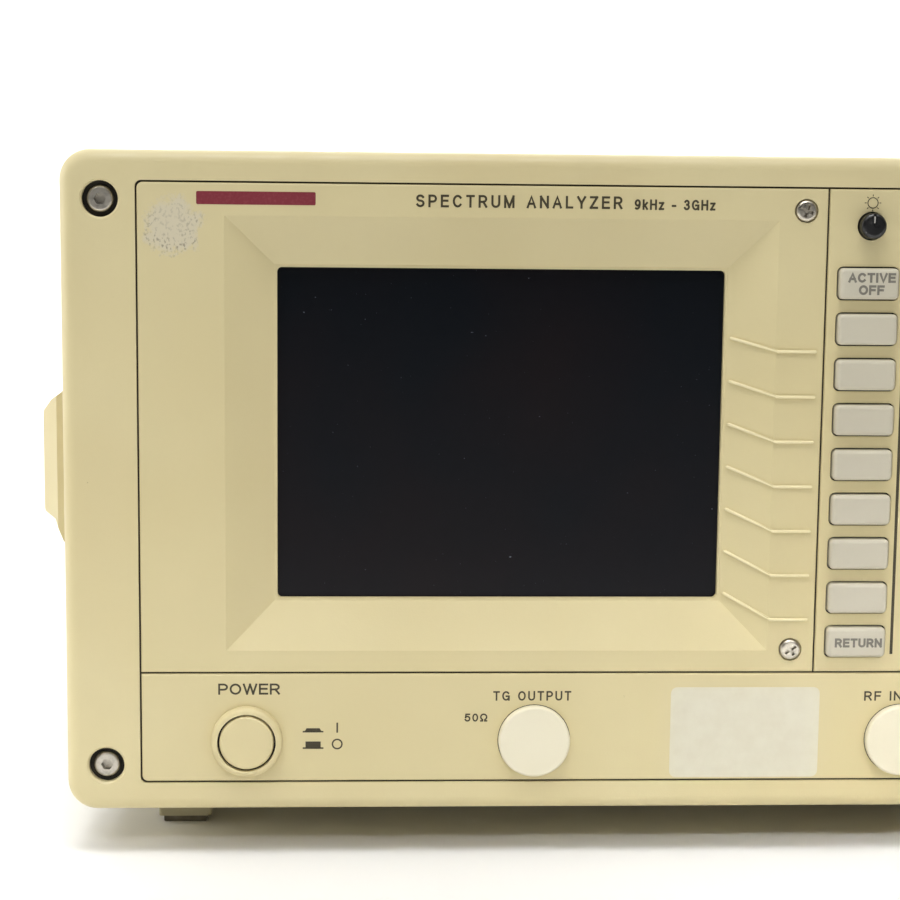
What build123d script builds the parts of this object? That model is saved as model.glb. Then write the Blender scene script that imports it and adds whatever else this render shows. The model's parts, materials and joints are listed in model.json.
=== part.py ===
"""Benchtop spectrum analyzer, written as one STEP file for each sub-part.

Everything is laid out in bench coordinates, in millimetres: x runs right from the left side of the
front frame, y runs back from the frame's front face, and z runs up from the frame's underside.
export_all() then moves every piece so that the origin is under the middle of the whole object.
"""

from build123d import *
import math
import os

# ---- driving dimensions ----
WIDTH = 424.0            # front frame, side to side
HEIGHT = 177.0           # front frame, four rack units less a clearance
DEPTH = 296.0            # front face to the back edge of the covers
FOOT_DROP = 13.0         # underside of the frame to the surface that the object stands on
HANDLE_OUT = 15.4        # side handle, out from the left side
KNOB_OUT = 15.0          # data knob, forward of the front face
REAR_FOOT_END = 318.0    # back end of the rear feet

# front frame
FRAME_DEPTH = 30.0
CORNER_R = 8.0
FRONT_EDGE_R = 3.6
RIM_X = 19.8             # frame side to panel opening
RIM_Z = 7.9              # frame top or bottom to panel opening
LEDGE = 5.0              # how far the frame reaches in behind the panels
LOWER_LEDGE = 1.0        # the same under the front connectors
LOWER_LEDGE_END = 33.0
REBATE_WALL = 3.0        # frame wall around the casing
REBATE_Y = 14.0
CORNER_SCREW_X = 10.7
CORNER_SCREW_Z = 12.8

# front panels
PANEL_T = 3.2
GROOVE = 0.45            # gap around each panel
SPLIT_X = 202.0          # display panel to key panel
SPLIT_Z = 38.2           # upper panels to lower panel
PANEL_CORNER_R = 1.6
PANEL_EDGE_R = 0.5
PANEL_SCREW_HEAD_R = 2.85
PANEL_SCREW_R = 1.45
PANEL_SCREW_SEAT = 0.9   # depth of each screw's round seat
PANEL_SCREW_LENGTH = 8.0

# display
APERTURE = (56.4, 176.0, 57.6, 146.7)     # x from, x to, z from, z to
RECESS = (42.9, 189.0, 44.3, 160.2)
RECESS_DEPTH = 6.0
RECESS_FLOOR_MARGIN = 0.8                 # level strip around the aperture
RECESS_WALL = 1.6
WINDOW_Y = RECESS_DEPTH + RECESS_WALL
APERTURE_R = 1.3
WINDOW_T = 2.0
GUIDE_COUNT = 7          # raised lines from the screen to the softkeys
GUIDE_WIDTH = 0.75
GUIDE_HEIGHT = 0.45
GUIDE_SINK = 0.3         # how far each line is rooted in the panel
GUIDE_START_X = 177.7
GUIDE_START_Z = 128.7
GUIDE_START_PITCH = 11.62
GUIDE_BEND_X = 189.6
GUIDE_END_X = 199.7

# keys
KEY_W = 16.0
KEY_H = 8.2
KEY_R = 1.25
KEY_EDGE_R = 1.2
KEY_PROUD = 2.0
KEY_TRAVEL = 1.2
KEY_GAP = 0.4
KEY_PITCH = 12.12
SOFTKEY_X = 213.1
FIRST_KEY_Z = 143.8      # top softkey, centre
SOFTKEY_COUNT = 9
COLUMN_PITCH = 22.0
FUNCTION_X = 242.0
NUMBER_X = 301.0
UNIT_X = 378.0
STEP_X = 301.0
FLANGE_Y = PANEL_T + 0.25     # front of each key's flange, behind the panel
STEM_END = 6.4
MAT_Y = 7.9              # front of the rubber sheets
BOARD_Y = 9.1            # front of the key board

# knobs and controls
BRIGHTNESS_AT = (213.5, 159.0)
BRIGHTNESS_R = 3.45
BRIGHTNESS_OUT = 3.2
DATA_KNOB_AT = (352.0, 128.0)
DATA_KNOB_R = 18.0
CONTROL_Z = 19.55        # power button and front connectors
POWER_X = 48.4
RING_R = 9.6
RING_BORE_R = 7.85
POWER_BUTTON_R = 7.3
POWER_BUTTON_OUT = 2.8
RING_OUT = 2.7
TG_X = 126.0
RF_X = 226.5
CAL_X = 310.0
CAP_R = 9.7
CAP_PROUD = 2.4

# casing
COVER_IN = 1.6           # covers, in from the frame's outline
SHEET = 1.5
REAR_PANEL_Y = 291.0
LIP = 12.0               # turned-in top edges of the chassis
COVER_BEND_R = 6.5
SEAM_Z = 12.0
CASE_X0 = COVER_IN       # outside of the covers
CASE_X1 = WIDTH - COVER_IN
CASE_Z0 = COVER_IN
CASE_Z1 = HEIGHT - COVER_IN
IN_X0 = CASE_X0 + SHEET  # inside of the covers
IN_X1 = CASE_X1 - SHEET
IN_Z0 = CASE_Z0 + SHEET
IN_Z1 = CASE_Z1 - SHEET

# feet
FOOT_X = 29.0
FOOT_W = 15.0
PAD_INSET = 1.45         # pad's side, in from the foot's side
FRONT_FOOT_Y = 30.0
REAR_FOOT_Y = 246.0
PAD_T = 2.0
LEG_PIVOT = (49.0, -8.0)      # y and z
LEG_LENGTH = 34.0

# handle
HANDLE_Z = 87.0
CAP_LENGTH = 42.0
HANDLE_FRONT_Y = 60.0
HANDLE_REAR_Y = 246.0
HANDLE_BOLT_R = 1.9
STRAP_Y0 = HANDLE_FRONT_Y + 16
STRAP_Y1 = HANDLE_REAR_Y - 16
STRAP_X0 = -11.2
STRAP_X1 = -7.0
STRAP_HALF = 11.0
STRAP_LIFT = 1.4         # free lift of the strap's ends in the caps

# rear
FAN_AT = (126.0, 98.0)
FAN_SIZE = 80.0
FAN_T = 25.0
REAR_FOOT_WELL = 14.0
INLET_AT = (372.0, 42.0)
BNC_X = [206.0, 232.0, 258.0, 284.0]
BNC_Z = 140.0

ORIGIN = Vector((WIDTH - HANDLE_OUT) / 2, (REAR_FOOT_END - KNOB_OUT) / 2, -FOOT_DROP)
MID = (Align.CENTER, Align.CENTER, Align.MIN)
LOW = (Align.MIN, Align.MIN, Align.MIN)


# ---- plain shapes ----
def block(x0, x1, y0, y1, z0, z1):
    """Box between two corners."""
    return Pos(x0, y0, z0) * Box(x1 - x0, y1 - y0, z1 - z0, align=LOW)


def slab(x0, x1, z0, z1, y0, y1, r):
    """Plate that faces the front, with its four corners rounded."""
    outline = RectangleRounded(x1 - x0, z1 - z0, r)
    return Pos((x0 + x1) / 2, y0, (z0 + z1) / 2) * Rot(-90, 0, 0) * extrude(outline, y1 - y0)


def rod(x, z, y0, y1, r):
    """Round bar along y."""
    return Pos(x, y0, z) * Rot(-90, 0, 0) * Cylinder(r, y1 - y0, align=MID)


def cone(x, z, y0, y1, r0, r1):
    """Tapered bar along y, radius r0 at y0 and r1 at y1."""
    return Pos(x, y0, z) * Rot(-90, 0, 0) * Cone(r0, r1, y1 - y0, align=MID)


def post(x, y, z0, z1, r):
    """Round bar along z."""
    return Pos(x, y, z0) * Cylinder(r, z1 - z0, align=MID)


def bar(y, z, x0, x1, r):
    """Round bar along x."""
    return Pos(x0, y, z) * Rot(0, 90, 0) * Cylinder(r, x1 - x0, align=MID)


def edges_at(shape, axis, value, tolerance=0.01):
    """Edges that lie wholly in the plane where the axis has this value."""
    return shape.edges().filter_by_position(axis, value - tolerance, value + tolerance)


def join(pieces):
    """One shape from pieces that touch, or a group of separate solids."""
    first = pieces[0]
    return first.fuse(*pieces[1:]) if len(pieces) > 1 else first


def group(solids):
    """Separate solids kept together as one node."""
    return Compound(children=solids)


def panel_box():
    """The opening that the three front panels fill."""
    return RIM_X, WIDTH - RIM_X, RIM_Z, HEIGHT - RIM_Z


# ---- front frame ----
def corner_screw_places():
    return [(x, z) for x in (CORNER_SCREW_X, WIDTH - CORNER_SCREW_X)
            for z in (CORNER_SCREW_Z, HEIGHT - CORNER_SCREW_Z)]


def front_frame():
    frame = slab(0, WIDTH, 0, HEIGHT, 0, FRAME_DEPTH, CORNER_R)
    frame = fillet(edges_at(frame, Axis.Y, 0), FRONT_EDGE_R)
    x0, x1, z0, z1 = panel_box()
    frame -= slab(x0, x1, z0, z1, -1, PANEL_T, PANEL_CORNER_R)
    frame -= slab(x0 + LEDGE, x1 - LEDGE, z0 + LEDGE, z1 - LEDGE, 0, FRAME_DEPTH + 1, PANEL_CORNER_R)
    side = LOWER_LEDGE_END
    frame -= block(side, WIDTH - side, 0, FRAME_DEPTH + 1, z0 + LOWER_LEDGE, z0 + LEDGE + 1)
    wall = REBATE_WALL
    frame -= slab(wall, WIDTH - wall, wall, HEIGHT - wall, REBATE_Y, FRAME_DEPTH + 1, CORNER_R - wall)
    for x, z in corner_screw_places():
        frame -= rod(x, z, -1, FRAME_DEPTH, 2.3)
        frame -= rod(x, z, -1, 4.8, 4.75)
        frame -= cone(x, z, -0.4, 0.5, 5.65, 4.75)
    for x, z in display_screw_places() + key_screw_places():
        frame -= rod(x, z, PANEL_T - 1, FRAME_DEPTH, PANEL_SCREW_R + 0.15)
    return frame


def socket_screw(x, z, y_head, head_r, head_h, shank_r, length):
    """Socket-head screw, its head's top at y_head."""
    head = rod(x, z, y_head, y_head + head_h, head_r)
    head = fillet(edges_at(head, Axis.Y, y_head), 0.8)
    socket = extrude(RegularPolygon(head_r * 0.46, 6), head_h * 0.55)
    head -= Pos(x, y_head, z) * Rot(-90, 0, 0) * socket
    return head + rod(x, z, y_head + head_h, y_head + head_h + length, shank_r)


def frame_screws():
    return group([socket_screw(x, z, 1.0, 3.45, 3.8, 1.95, 16) for x, z in corner_screw_places()])


# ---- front panels ----
def front_panel(x0, x1, z0, z1, square_left=0, square_right=0, square_below=0, square_above=0):
    """Plate with a softened front edge, its corners square on the sides that meet another panel."""
    r = PANEL_CORNER_R
    plate = slab(x0 - square_left * 2 * r, x1 + square_right * 2 * r, z0 - square_below * 2 * r,
                 z1 + square_above * 2 * r, 0, PANEL_T, r)
    plate &= block(x0, x1, 0, PANEL_T, z0, z1)
    return fillet(edges_at(plate, Axis.Y, 0), PANEL_EDGE_R)


def display_panel():
    x0, x1 = RIM_X + GROOVE, SPLIT_X - GROOVE / 2
    z0, z1 = SPLIT_Z + GROOVE / 2, HEIGHT - RIM_Z - GROOVE
    panel = front_panel(x0, x1, z0, z1, square_right=1, square_below=1)
    ax0, ax1, az0, az1 = APERTURE
    rx0, rx1, rz0, rz1 = RECESS
    dish_back = RECESS_DEPTH + RECESS_WALL
    dish = slab(rx0 - 3, rx1 + 3, rz0 - 3, rz1 + 3, PANEL_T - 0.2, dish_back, 2)
    panel += dish
    panel -= recess_space()
    panel = panel.fuse(*guide_ribs())
    panel -= slab(ax0, ax1, az0, az1, 0, dish_back + 1, APERTURE_R)
    for x, z in display_screw_places():
        panel -= rod(x, z, -1, PANEL_T + 3, PANEL_SCREW_R + 0.2)
        panel -= rod(x, z, -1, PANEL_SCREW_SEAT, PANEL_SCREW_HEAD_R + 0.3)
    return panel


def recess_space():
    """The tapered space in front of the screen."""
    ax0, ax1, az0, az1 = APERTURE
    rx0, rx1, rz0, rz1 = RECESS
    margin = 2 * RECESS_FLOOR_MARGIN
    mouth = Pos((rx0 + rx1) / 2, 0, (rz0 + rz1) / 2) * Rot(-90, 0, 0) * Rectangle(rx1 - rx0, rz1 - rz0)
    floor_at = Pos((ax0 + ax1) / 2, RECESS_DEPTH, (az0 + az1) / 2)
    floor = floor_at * Rot(-90, 0, 0) * Rectangle(ax1 - ax0 + margin, az1 - az0 + margin)
    return loft([mouth.face(), floor.face()])


def guide_lines():
    """Start, bend and end of each line that leads from the screen to a softkey, as x and z."""
    lines = []
    for i in range(GUIDE_COUNT):
        end_z = FIRST_KEY_Z - KEY_PITCH * (i + 1.5)
        start_z = GUIDE_START_Z - GUIDE_START_PITCH * i
        lines.append(((GUIDE_START_X, start_z), (GUIDE_BEND_X, end_z), (GUIDE_END_X, end_z)))
    return lines


def guide_skin():
    """Thin layer over the right slope of the recess and the level panel beside it."""
    slope_x, bend_x, end_x = APERTURE[1] + RECESS_FLOOR_MARGIN, RECESS[1], SPLIT_X - 1
    profile = Polyline((slope_x, RECESS_DEPTH - GUIDE_HEIGHT), (bend_x, -GUIDE_HEIGHT), (end_x, -GUIDE_HEIGHT),
                       (end_x, GUIDE_SINK), (bend_x, GUIDE_SINK), (slope_x, RECESS_DEPTH + GUIDE_SINK),
                       (slope_x, RECESS_DEPTH - GUIDE_HEIGHT))
    return Pos(0, 0, SPLIT_Z) * extrude(make_face(profile), HEIGHT - SPLIT_Z, dir=(0, 0, 1))


def guide_ribs():
    """Raised lines that follow the sloping side of the recess and then the level panel."""
    skin = guide_skin()
    front, depth = -3.0, 12.0
    ribs = []
    for start, bend, end in guide_lines():
        strips = []
        for (xa, za), (xb, zb) in ((start, bend), (bend, end)):
            length = math.hypot(xb - xa, zb - za) + GUIDE_WIDTH
            slope = math.degrees(math.atan2(zb - za, xb - xa))
            strip = Rot(-90, 0, 0) * extrude(SlotOverall(length, GUIDE_WIDTH), depth)
            strips.append(Pos((xa + xb) / 2, front, (za + zb) / 2) * Rot(0, -slope, 0) * strip)
        ribs.append(skin & join(strips))
    return ribs


def display_screw_places():
    return [(196.0, HEIGHT - 14.2), (195.4, HEIGHT - 132.4)]


def key_screw_places():
    x = WIDTH - 26.0
    return [(x, HEIGHT - 14.2), (x, HEIGHT - 132.2)]


def row_z(row):
    """Height of a key row, counted down from the top softkey."""
    return FIRST_KEY_Z - KEY_PITCH * row


def softkey_places():
    return [(SOFTKEY_X, row_z(row)) for row in range(SOFTKEY_COUNT)]


def function_places(column):
    return [(FUNCTION_X + column * COLUMN_PITCH, row_z(row)) for row in range(1, 9)]


def number_places():
    return [(NUMBER_X + column * COLUMN_PITCH, row_z(row)) for row in range(5, 9) for column in range(3)]


def unit_places():
    return [(UNIT_X, row_z(row)) for row in range(5, 9)]


def step_places():
    return [(STEP_X, row_z(1)), (STEP_X, row_z(2))]


def all_key_places():
    places = softkey_places() + function_places(0) + function_places(1)
    return places + number_places() + unit_places() + step_places()


def key_panel_bosses():
    return [(227.4, 100.0), (282.5, 100.0), (282.5, 46.0), (361.5, 70.0), (227.4, 46.0)]


def key_panel():
    x0, x1 = SPLIT_X + GROOVE / 2, WIDTH - RIM_X - GROOVE
    z0, z1 = SPLIT_Z + GROOVE / 2, HEIGHT - RIM_Z - GROOVE
    panel = front_panel(x0, x1, z0, z1, square_left=1, square_below=1)
    holes = []
    half_w, half_h = KEY_W / 2 + KEY_GAP, KEY_H / 2 + KEY_GAP
    for x, z in all_key_places():
        holes.append(slab(x - half_w, x + half_w, z - half_h, z + half_h, -1, PANEL_T + 1, KEY_R + KEY_GAP))
    holes.append(rod(*BRIGHTNESS_AT, -1, PANEL_T + 1, BRIGHTNESS_R + 0.35))
    holes.append(rod(*DATA_KNOB_AT, -1, PANEL_T + 1, 5.0))
    for x, z in key_screw_places():
        holes.append(rod(x, z, -1, PANEL_T + 1, PANEL_SCREW_R + 0.2))
        holes.append(rod(x, z, -1, PANEL_SCREW_SEAT, PANEL_SCREW_HEAD_R + 0.3))
    panel = panel.cut(*holes)
    bosses = [rod(x, z, PANEL_T - 0.1, BOARD_Y, 2.0) for x, z in key_panel_bosses()]
    return panel.fuse(*bosses)


def lower_panel():
    x0, x1, z0, z1 = panel_box()
    panel = front_panel(x0 + GROOVE, x1 - GROOVE, z0 + GROOVE, SPLIT_Z - GROOVE / 2, square_above=1)
    holes = [rod(POWER_X, CONTROL_Z, -1, PANEL_T + 1, 8.95)]
    holes += [rod(x, CONTROL_Z, -1, PANEL_T + 1, 9.4) for x in (TG_X, RF_X)]
    holes.append(rod(CAL_X, CONTROL_Z, -1, PANEL_T + 1, 6.1))
    return panel.cut(*holes)


def cross_head_screw(x, z, turn):
    """Pan-head screw with a cross recess turned by some degrees, its head standing in its seat."""
    seat = PANEL_SCREW_SEAT
    head = rod(x, z, seat - 1.5, seat, PANEL_SCREW_HEAD_R)
    head = fillet(edges_at(head, Axis.Y, seat - 1.5), 0.9)
    for angle in (turn, turn + 90):
        wing = block(-1.75, 1.75, seat - 2, seat - 0.35, -0.42, 0.42)
        head -= Pos(x, 0, z) * Rot(0, angle, 0) * wing
    return head + rod(x, z, seat, seat + PANEL_SCREW_LENGTH, PANEL_SCREW_R)


def panel_screws():
    places = display_screw_places() + key_screw_places()
    return group([cross_head_screw(x, z, 20 + 37 * i) for i, (x, z) in enumerate(places)])


# ---- display ----
def display_window():
    x0, x1, z0, z1 = APERTURE
    return slab(x0 - 5, x1 + 5, z0 - 5, z1 + 5, WINDOW_Y, WINDOW_Y + WINDOW_T, 1.5)


def lcd_module():
    x0, x1, z0, z1 = APERTURE
    y0 = WINDOW_Y + WINDOW_T
    body = slab(x0 - 8, x1 + 8, z0 - 7, z1 + 7, y0, y0 + 7, 1.2)
    body -= slab(x0, x1, z0, z1, y0 - 1, y0 + 1.2, 0.5)
    tube = bar(y0 + 7.6, z0 - 2, x0 + 4, x1 - 4, 2.2)
    return body + tube


def display_bracket():
    """Folded plate behind the screen, with ears that reach the display panel's back."""
    x0, x1, z0, z1 = APERTURE
    y0 = WINDOW_Y + 12.1
    plate = block(x0 - 14, x1 + 14, y0, y0 + 1.5, z0 - 11, z1 + 11)
    plate -= block(x0 + 20, x1 - 20, y0 - 1, y0 + 3, z0 + 22, z1 - 22)
    sides = [block(x, x + 1.5, WINDOW_Y, y0 + 0.1, z0 - 11, z1 + 11) for x in (x0 - 14, x1 + 12.5)]
    plate = plate.fuse(*sides)
    lugs = [block(x, x + 3, WINDOW_Y + 9, y0 + 0.1, z0 + 30, z1 - 30) for x in (x0 - 7.5, x1 + 4.5)]
    return plate.fuse(*lugs)


# ---- keys ----
def key_cap(x, z):
    """One key: a rounded cap, a flange that keeps it behind the panel, and a stem."""
    cap = slab(x - KEY_W / 2, x + KEY_W / 2, z - KEY_H / 2, z + KEY_H / 2, -KEY_PROUD, FLANGE_Y + 0.2, KEY_R)
    cap = fillet(edges_at(cap, Axis.Y, -KEY_PROUD), KEY_EDGE_R)
    reach = KEY_GAP + 0.9
    flange = block(x - KEY_W / 2 - reach, x + KEY_W / 2 + reach, FLANGE_Y, FLANGE_Y + 1.1,
                   z - KEY_H / 2 - reach, z + KEY_H / 2 + reach)
    stem = slab(x - 4, x + 4, z - 2, z + 2, FLANGE_Y + 1, STEM_END, 0.8)
    return cap + flange + stem


def key_group(places):
    return group([key_cap(x, z) for x, z in places])


def key_mat():
    """Rubber dome sheets behind the keys, in strips that clear the panel bosses."""
    strips = [(203.5, 223.5, 41.0, 150.0), (231.0, 275.0, 41.0, 139.0), (290.5, 356.0, 41.0, 92.0),
              (367.0, 389.0, 41.0, 92.0), (290.5, 311.5, 110.0, 140.0)]
    return group([slab(x0, x1, z0, z1, MAT_Y, BOARD_Y, 1) for x0, x1, z0, z1 in strips])


def key_board():
    board = block(203.0, 397.0, BOARD_Y, BOARD_Y + 1.6, 40.2, 163.0)
    chips = [block(x, x + 14, BOARD_Y + 1.6, BOARD_Y + 4.2, z, z + 10) for x in (250, 290, 330) for z in (60, 100)]
    board = board.fuse(*chips)
    return board.cut(rod(*DATA_KNOB_AT, 0, 20, 6.0), rod(*BRIGHTNESS_AT, 0, 20, 3.6))


# ---- knobs and front controls ----
def brightness_knob():
    x, z = BRIGHTNESS_AT
    knob = rod(x, z, -BRIGHTNESS_OUT, FLANGE_Y - 0.4, BRIGHTNESS_R)
    knob = fillet(edges_at(knob, Axis.Y, -BRIGHTNESS_OUT), 1.2)
    knob -= block(x - 0.35, x + 0.35, -BRIGHTNESS_OUT - 1, -BRIGHTNESS_OUT + 0.5, z, z + BRIGHTNESS_R)
    knob -= rod(x, z, -1.0, FLANGE_Y, 1.53)
    return knob


def brightness_pot():
    """Small panel potentiometer; its shaft carries the knob."""
    x, z = BRIGHTNESS_AT
    can = rod(x, z, 11.0, 17.0, 4.3)
    bush = rod(x, z, 4.6, 11.0, 3.0)
    shaft = rod(x, z, -1.0, 4.6, 1.5)
    return can + bush + shaft


def data_knob():
    """Large tuning knob with a finger dimple and a ribbed skirt."""
    x, z = DATA_KNOB_AT
    knob = cone(x, z, -KNOB_OUT, -1.0, DATA_KNOB_R - 1.6, DATA_KNOB_R)
    knob = fillet(edges_at(knob, Axis.Y, -KNOB_OUT), 2.2)
    knob -= Pos(x + 9.2, -KNOB_OUT - 2.8, z + 3.0) * Sphere(5.6)
    ribs = []
    for i in range(30):
        turn = 2 * math.pi * i / 30
        ribs.append(rod(x + (DATA_KNOB_R + 0.55) * math.cos(turn), z + (DATA_KNOB_R + 0.55) * math.sin(turn),
                        -KNOB_OUT + 3.4, -0.9, 1.1))
    knob = knob.cut(*ribs)
    knob -= rod(x, z, -9.0, 0, 3.05)
    return knob


def rotary_encoder():
    x, z = DATA_KNOB_AT
    body = slab(x - 13, x + 13, z - 13, z + 13, 12.0, 24.0, 1.5)
    bush = rod(x, z, -0.4, 12.0, 4.7)
    shaft = rod(x, z, -9.0, -0.4, 3.0)
    return body + bush + shaft


def power_ring():
    """Collar around the power button, with a well rounded outer edge."""
    ring = rod(POWER_X, CONTROL_Z, -RING_OUT, 0, RING_R)
    ring = fillet(edges_at(ring, Axis.Y, -RING_OUT), 1.5)
    ring += rod(POWER_X, CONTROL_Z, -0.1, 9.0, 8.9)
    return ring - rod(POWER_X, CONTROL_Z, -3, 10, RING_BORE_R)


def power_button():
    button = rod(POWER_X, CONTROL_Z, -POWER_BUTTON_OUT, 8.0, POWER_BUTTON_R)
    button = fillet(edges_at(button, Axis.Y, -POWER_BUTTON_OUT), 0.8)
    return button + rod(POWER_X, CONTROL_Z, 7.9, 20.0, 3.0)


def power_switch():
    """Push-push mains switch on its own bracket, open at the front for the button's stem."""
    body = block(POWER_X - 10, POWER_X + 10, 15, 42, CONTROL_Z - 8.6, CONTROL_Z + 8.6)
    body -= rod(POWER_X, CONTROL_Z, 14, 24, 3.2)
    foot = block(POWER_X - 10, POWER_X + 10, 15, 42, 4.6, CONTROL_Z - 8.5)
    tabs = [block(POWER_X + dx - 0.4, POWER_X + dx + 0.4, 41.9, 48, CONTROL_Z - 3, CONTROL_Z + 3)
            for dx in (-6, 6)]
    return join([body, foot] + tabs)


def n_connector(x):
    """Panel jack with a threaded barrel, a centre contact and a square flange behind the panel."""
    z = CONTROL_Z
    barrel = rod(x, z, 0.5, 9.0, 7.9)
    for i in range(4):
        y = 1.6 + 1.9 * i
        barrel -= rod(x, z, y, y + 0.8, 9) - rod(x, z, y - 1, y + 2, 7.45)
    bore = rod(x, z, 0.4, 8.0, 6.2)
    barrel -= bore
    sleeve = rod(x, z, 2.4, 8.2, 4.2) - rod(x, z, 2.3, 8.3, 3.4)
    contact = rod(x, z, 3.4, 8.2, 0.8)
    flange = slab(x - 12.7, x + 12.7, z - 9.6, z + 12.7, 8.0, 11.0, 1.5)
    tail = rod(x, z, 10.9, 24, 4.5)
    return join([barrel + flange, sleeve, contact, tail])


def n_cap(x):
    """Push-on dust cap: a thin disc with a skirt that grips the barrel of the jack."""
    z = CONTROL_Z
    disc = rod(x, z, -CAP_PROUD, 0, CAP_R)
    disc = fillet(edges_at(disc, Axis.Y, -CAP_PROUD), 0.7)
    skirt = rod(x, z, -0.1, 7.0, 9.2) - rod(x, z, -0.2, 7.1, 7.97)
    return disc + skirt


def bnc_jack(x, z, y_panel, away):
    """Bayonet jack standing out of a panel; away is -1 towards the front and +1 towards the back."""
    def length(inner, outer, r):
        return rod(x, z, *sorted((y_panel + away * inner, y_panel + away * outer)), r)

    jack = length(-10.0, 11.0, 4.8) + length(0, 1.6, 6.4)
    jack += bar(y_panel + away * 8.0, z, x - 5.9, x + 5.9, 1.0)
    jack -= length(0.6, 12.0, 4.0)
    return jack + length(0.5, 8.5, 1.1)


# ---- casing ----
def chassis():
    """Folded tray: floor, two sides with turned-in top edges, and four posts behind the front frame."""
    clear = 0.1
    x0, x1, z0, z1 = IN_X0 + clear, IN_X1 - clear, IN_Z0, IN_Z1
    y0, y1 = REBATE_Y + clear, REAR_PANEL_Y
    bend = COVER_BEND_R - SHEET
    tray = slab(x0, x1, z0, z1, y0, y1, bend)
    tray -= slab(x0 + SHEET, x1 - SHEET, z0 + SHEET, z1 - SHEET, y0 - 1, y1 + 1, bend - SHEET)
    tray -= block(x0 + LIP, x1 - LIP, y0 - 1, y1 + 1, z1 - SHEET - 1, z1 + 1)
    posts = []
    for x, z in corner_screw_places():
        px0, px1 = (x0 + 1, x + 6.0) if x < WIDTH / 2 else (x - 6.0, x1 - 1)
        pz0, pz1 = (z0 + 1, z + 6.0) if z < HEIGHT / 2 else (z - 6.0, z1 - 1)
        post_y1 = y0 + 18
        posts.append(block(px0, px1, y0, post_y1, pz0, pz1) & slab(x0, x1, z0, z1, y0, post_y1, bend))
    tray = tray.fuse(*posts)
    holes = [rod(x, z, 0, 40, 2.15) for x, z in corner_screw_places()]
    holes += [bar(y, z, -1, WIDTH + 1, 1.75) for y, z in side_screw_places()]
    holes += [bar(y, z, -1, WIDTH / 2, HANDLE_BOLT_R + 0.15) for y, z in handle_screw_places()]
    return tray.cut(*holes)


def shell_outline(z_from, z_to):
    """Hollow sleeve in the covers' outline, kept between two heights."""
    outer = slab(CASE_X0, CASE_X1, CASE_Z0, CASE_Z1, FRAME_DEPTH, DEPTH, COVER_BEND_R)
    inner = slab(IN_X0, IN_X1, IN_Z0, IN_Z1, FRAME_DEPTH - 1, DEPTH + 1, COVER_BEND_R - SHEET)
    return (outer - inner) & block(-1, WIDTH + 1, FRAME_DEPTH, DEPTH, z_from, z_to)


def slot_prism_x(y, z, length, width):
    """Cutter for one upright slot in a side wall, long in z."""
    return block(-1, WIDTH + 1, y - width / 2, y + width / 2, z - length / 2, z + length / 2)


def vent_rows():
    """Positions of the side slots, as y and z, near the back of the casing."""
    return [(y, z) for y in [256.0 + 6.5 * i for i in range(5)] for z in (60.0, 92.0, 124.0)]


def top_cover():
    """Inverted tray that closes the top and both sides, with slots at the back of each side."""
    cover = shell_outline(SEAM_Z, HEIGHT)
    cutters = [slot_prism_x(y, z, 24.0, 2.6) for y, z in vent_rows()]
    cutters += [slot_prism_x(48.0 + 6.5 * i, 124.0, 24.0, 2.6) for i in range(12)]
    for i in range(16):
        x = 290.0 + 6.5 * i
        cutters.append(block(x, x + 2.6, 215, 255, 165, HEIGHT + 1))
        cutters.append(block(x, x + 2.6, 165, 205, 165, HEIGHT + 1))
    cutters += [bar(y, z, -1, WIDTH + 1, 1.75) for y, z in side_screw_places()]
    cutters += [bar(y, z, -1, WIDTH / 2, HANDLE_BOLT_R + 0.15) for y, z in handle_screw_places()]
    return cover.cut(*cutters)


def side_screw_places():
    """Cover screws in each side, as y and z."""
    return [(40.0, 160.0), (40.0, 26.0), (160.0, 160.0), (284.0, 160.0), (284.0, 26.0)]


def bottom_cover():
    """Shallow tray under the chassis, slotted under the power supply."""
    cover = shell_outline(0, SEAM_Z - 0.4)
    slots = [block(290 + 6.5 * i, 292.6 + 6.5 * i, 150, 190, 0, 3) for i in range(14)]
    return cover.cut(*slots)


def side_screw(y, z, side):
    """Flat-topped cover screw; side is -1 on the left and +1 on the right."""
    def length(inner, outer, r):
        face = CASE_X0 if side < 0 else CASE_X1
        return bar(y, z, *sorted((face + side * inner, face + side * outer)), r)

    screw = length(0, 1.1, 3.0) + length(-6.0, 0, 1.55)
    ends = sorted((CASE_X0 - 1.2 if side < 0 else CASE_X1 + 0.5, CASE_X0 - 0.5 if side < 0 else CASE_X1 + 1.2))
    screw -= block(ends[0], ends[1], y - 1.7, y + 1.7, z - 0.35, z + 0.35)
    screw -= block(ends[0], ends[1], y - 0.35, y + 0.35, z - 1.7, z + 1.7)
    return screw


def rear_foot_screw(x, z):
    """Pan-head screw at the bottom of a rear foot's well, through the rear panel."""
    y = REAR_FOOT_END - REAR_FOOT_WELL
    return rod(x, z, y, y + 2.4, 3.2) + rod(x, z, REAR_PANEL_Y - 5, y + 0.1, 1.9)


def casing_screws():
    screws = [side_screw(y, z, side) for side in (-1, 1) for y, z in side_screw_places()]
    return group(screws + [rear_foot_screw(x, z) for x, z in rear_foot_places()])


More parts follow.
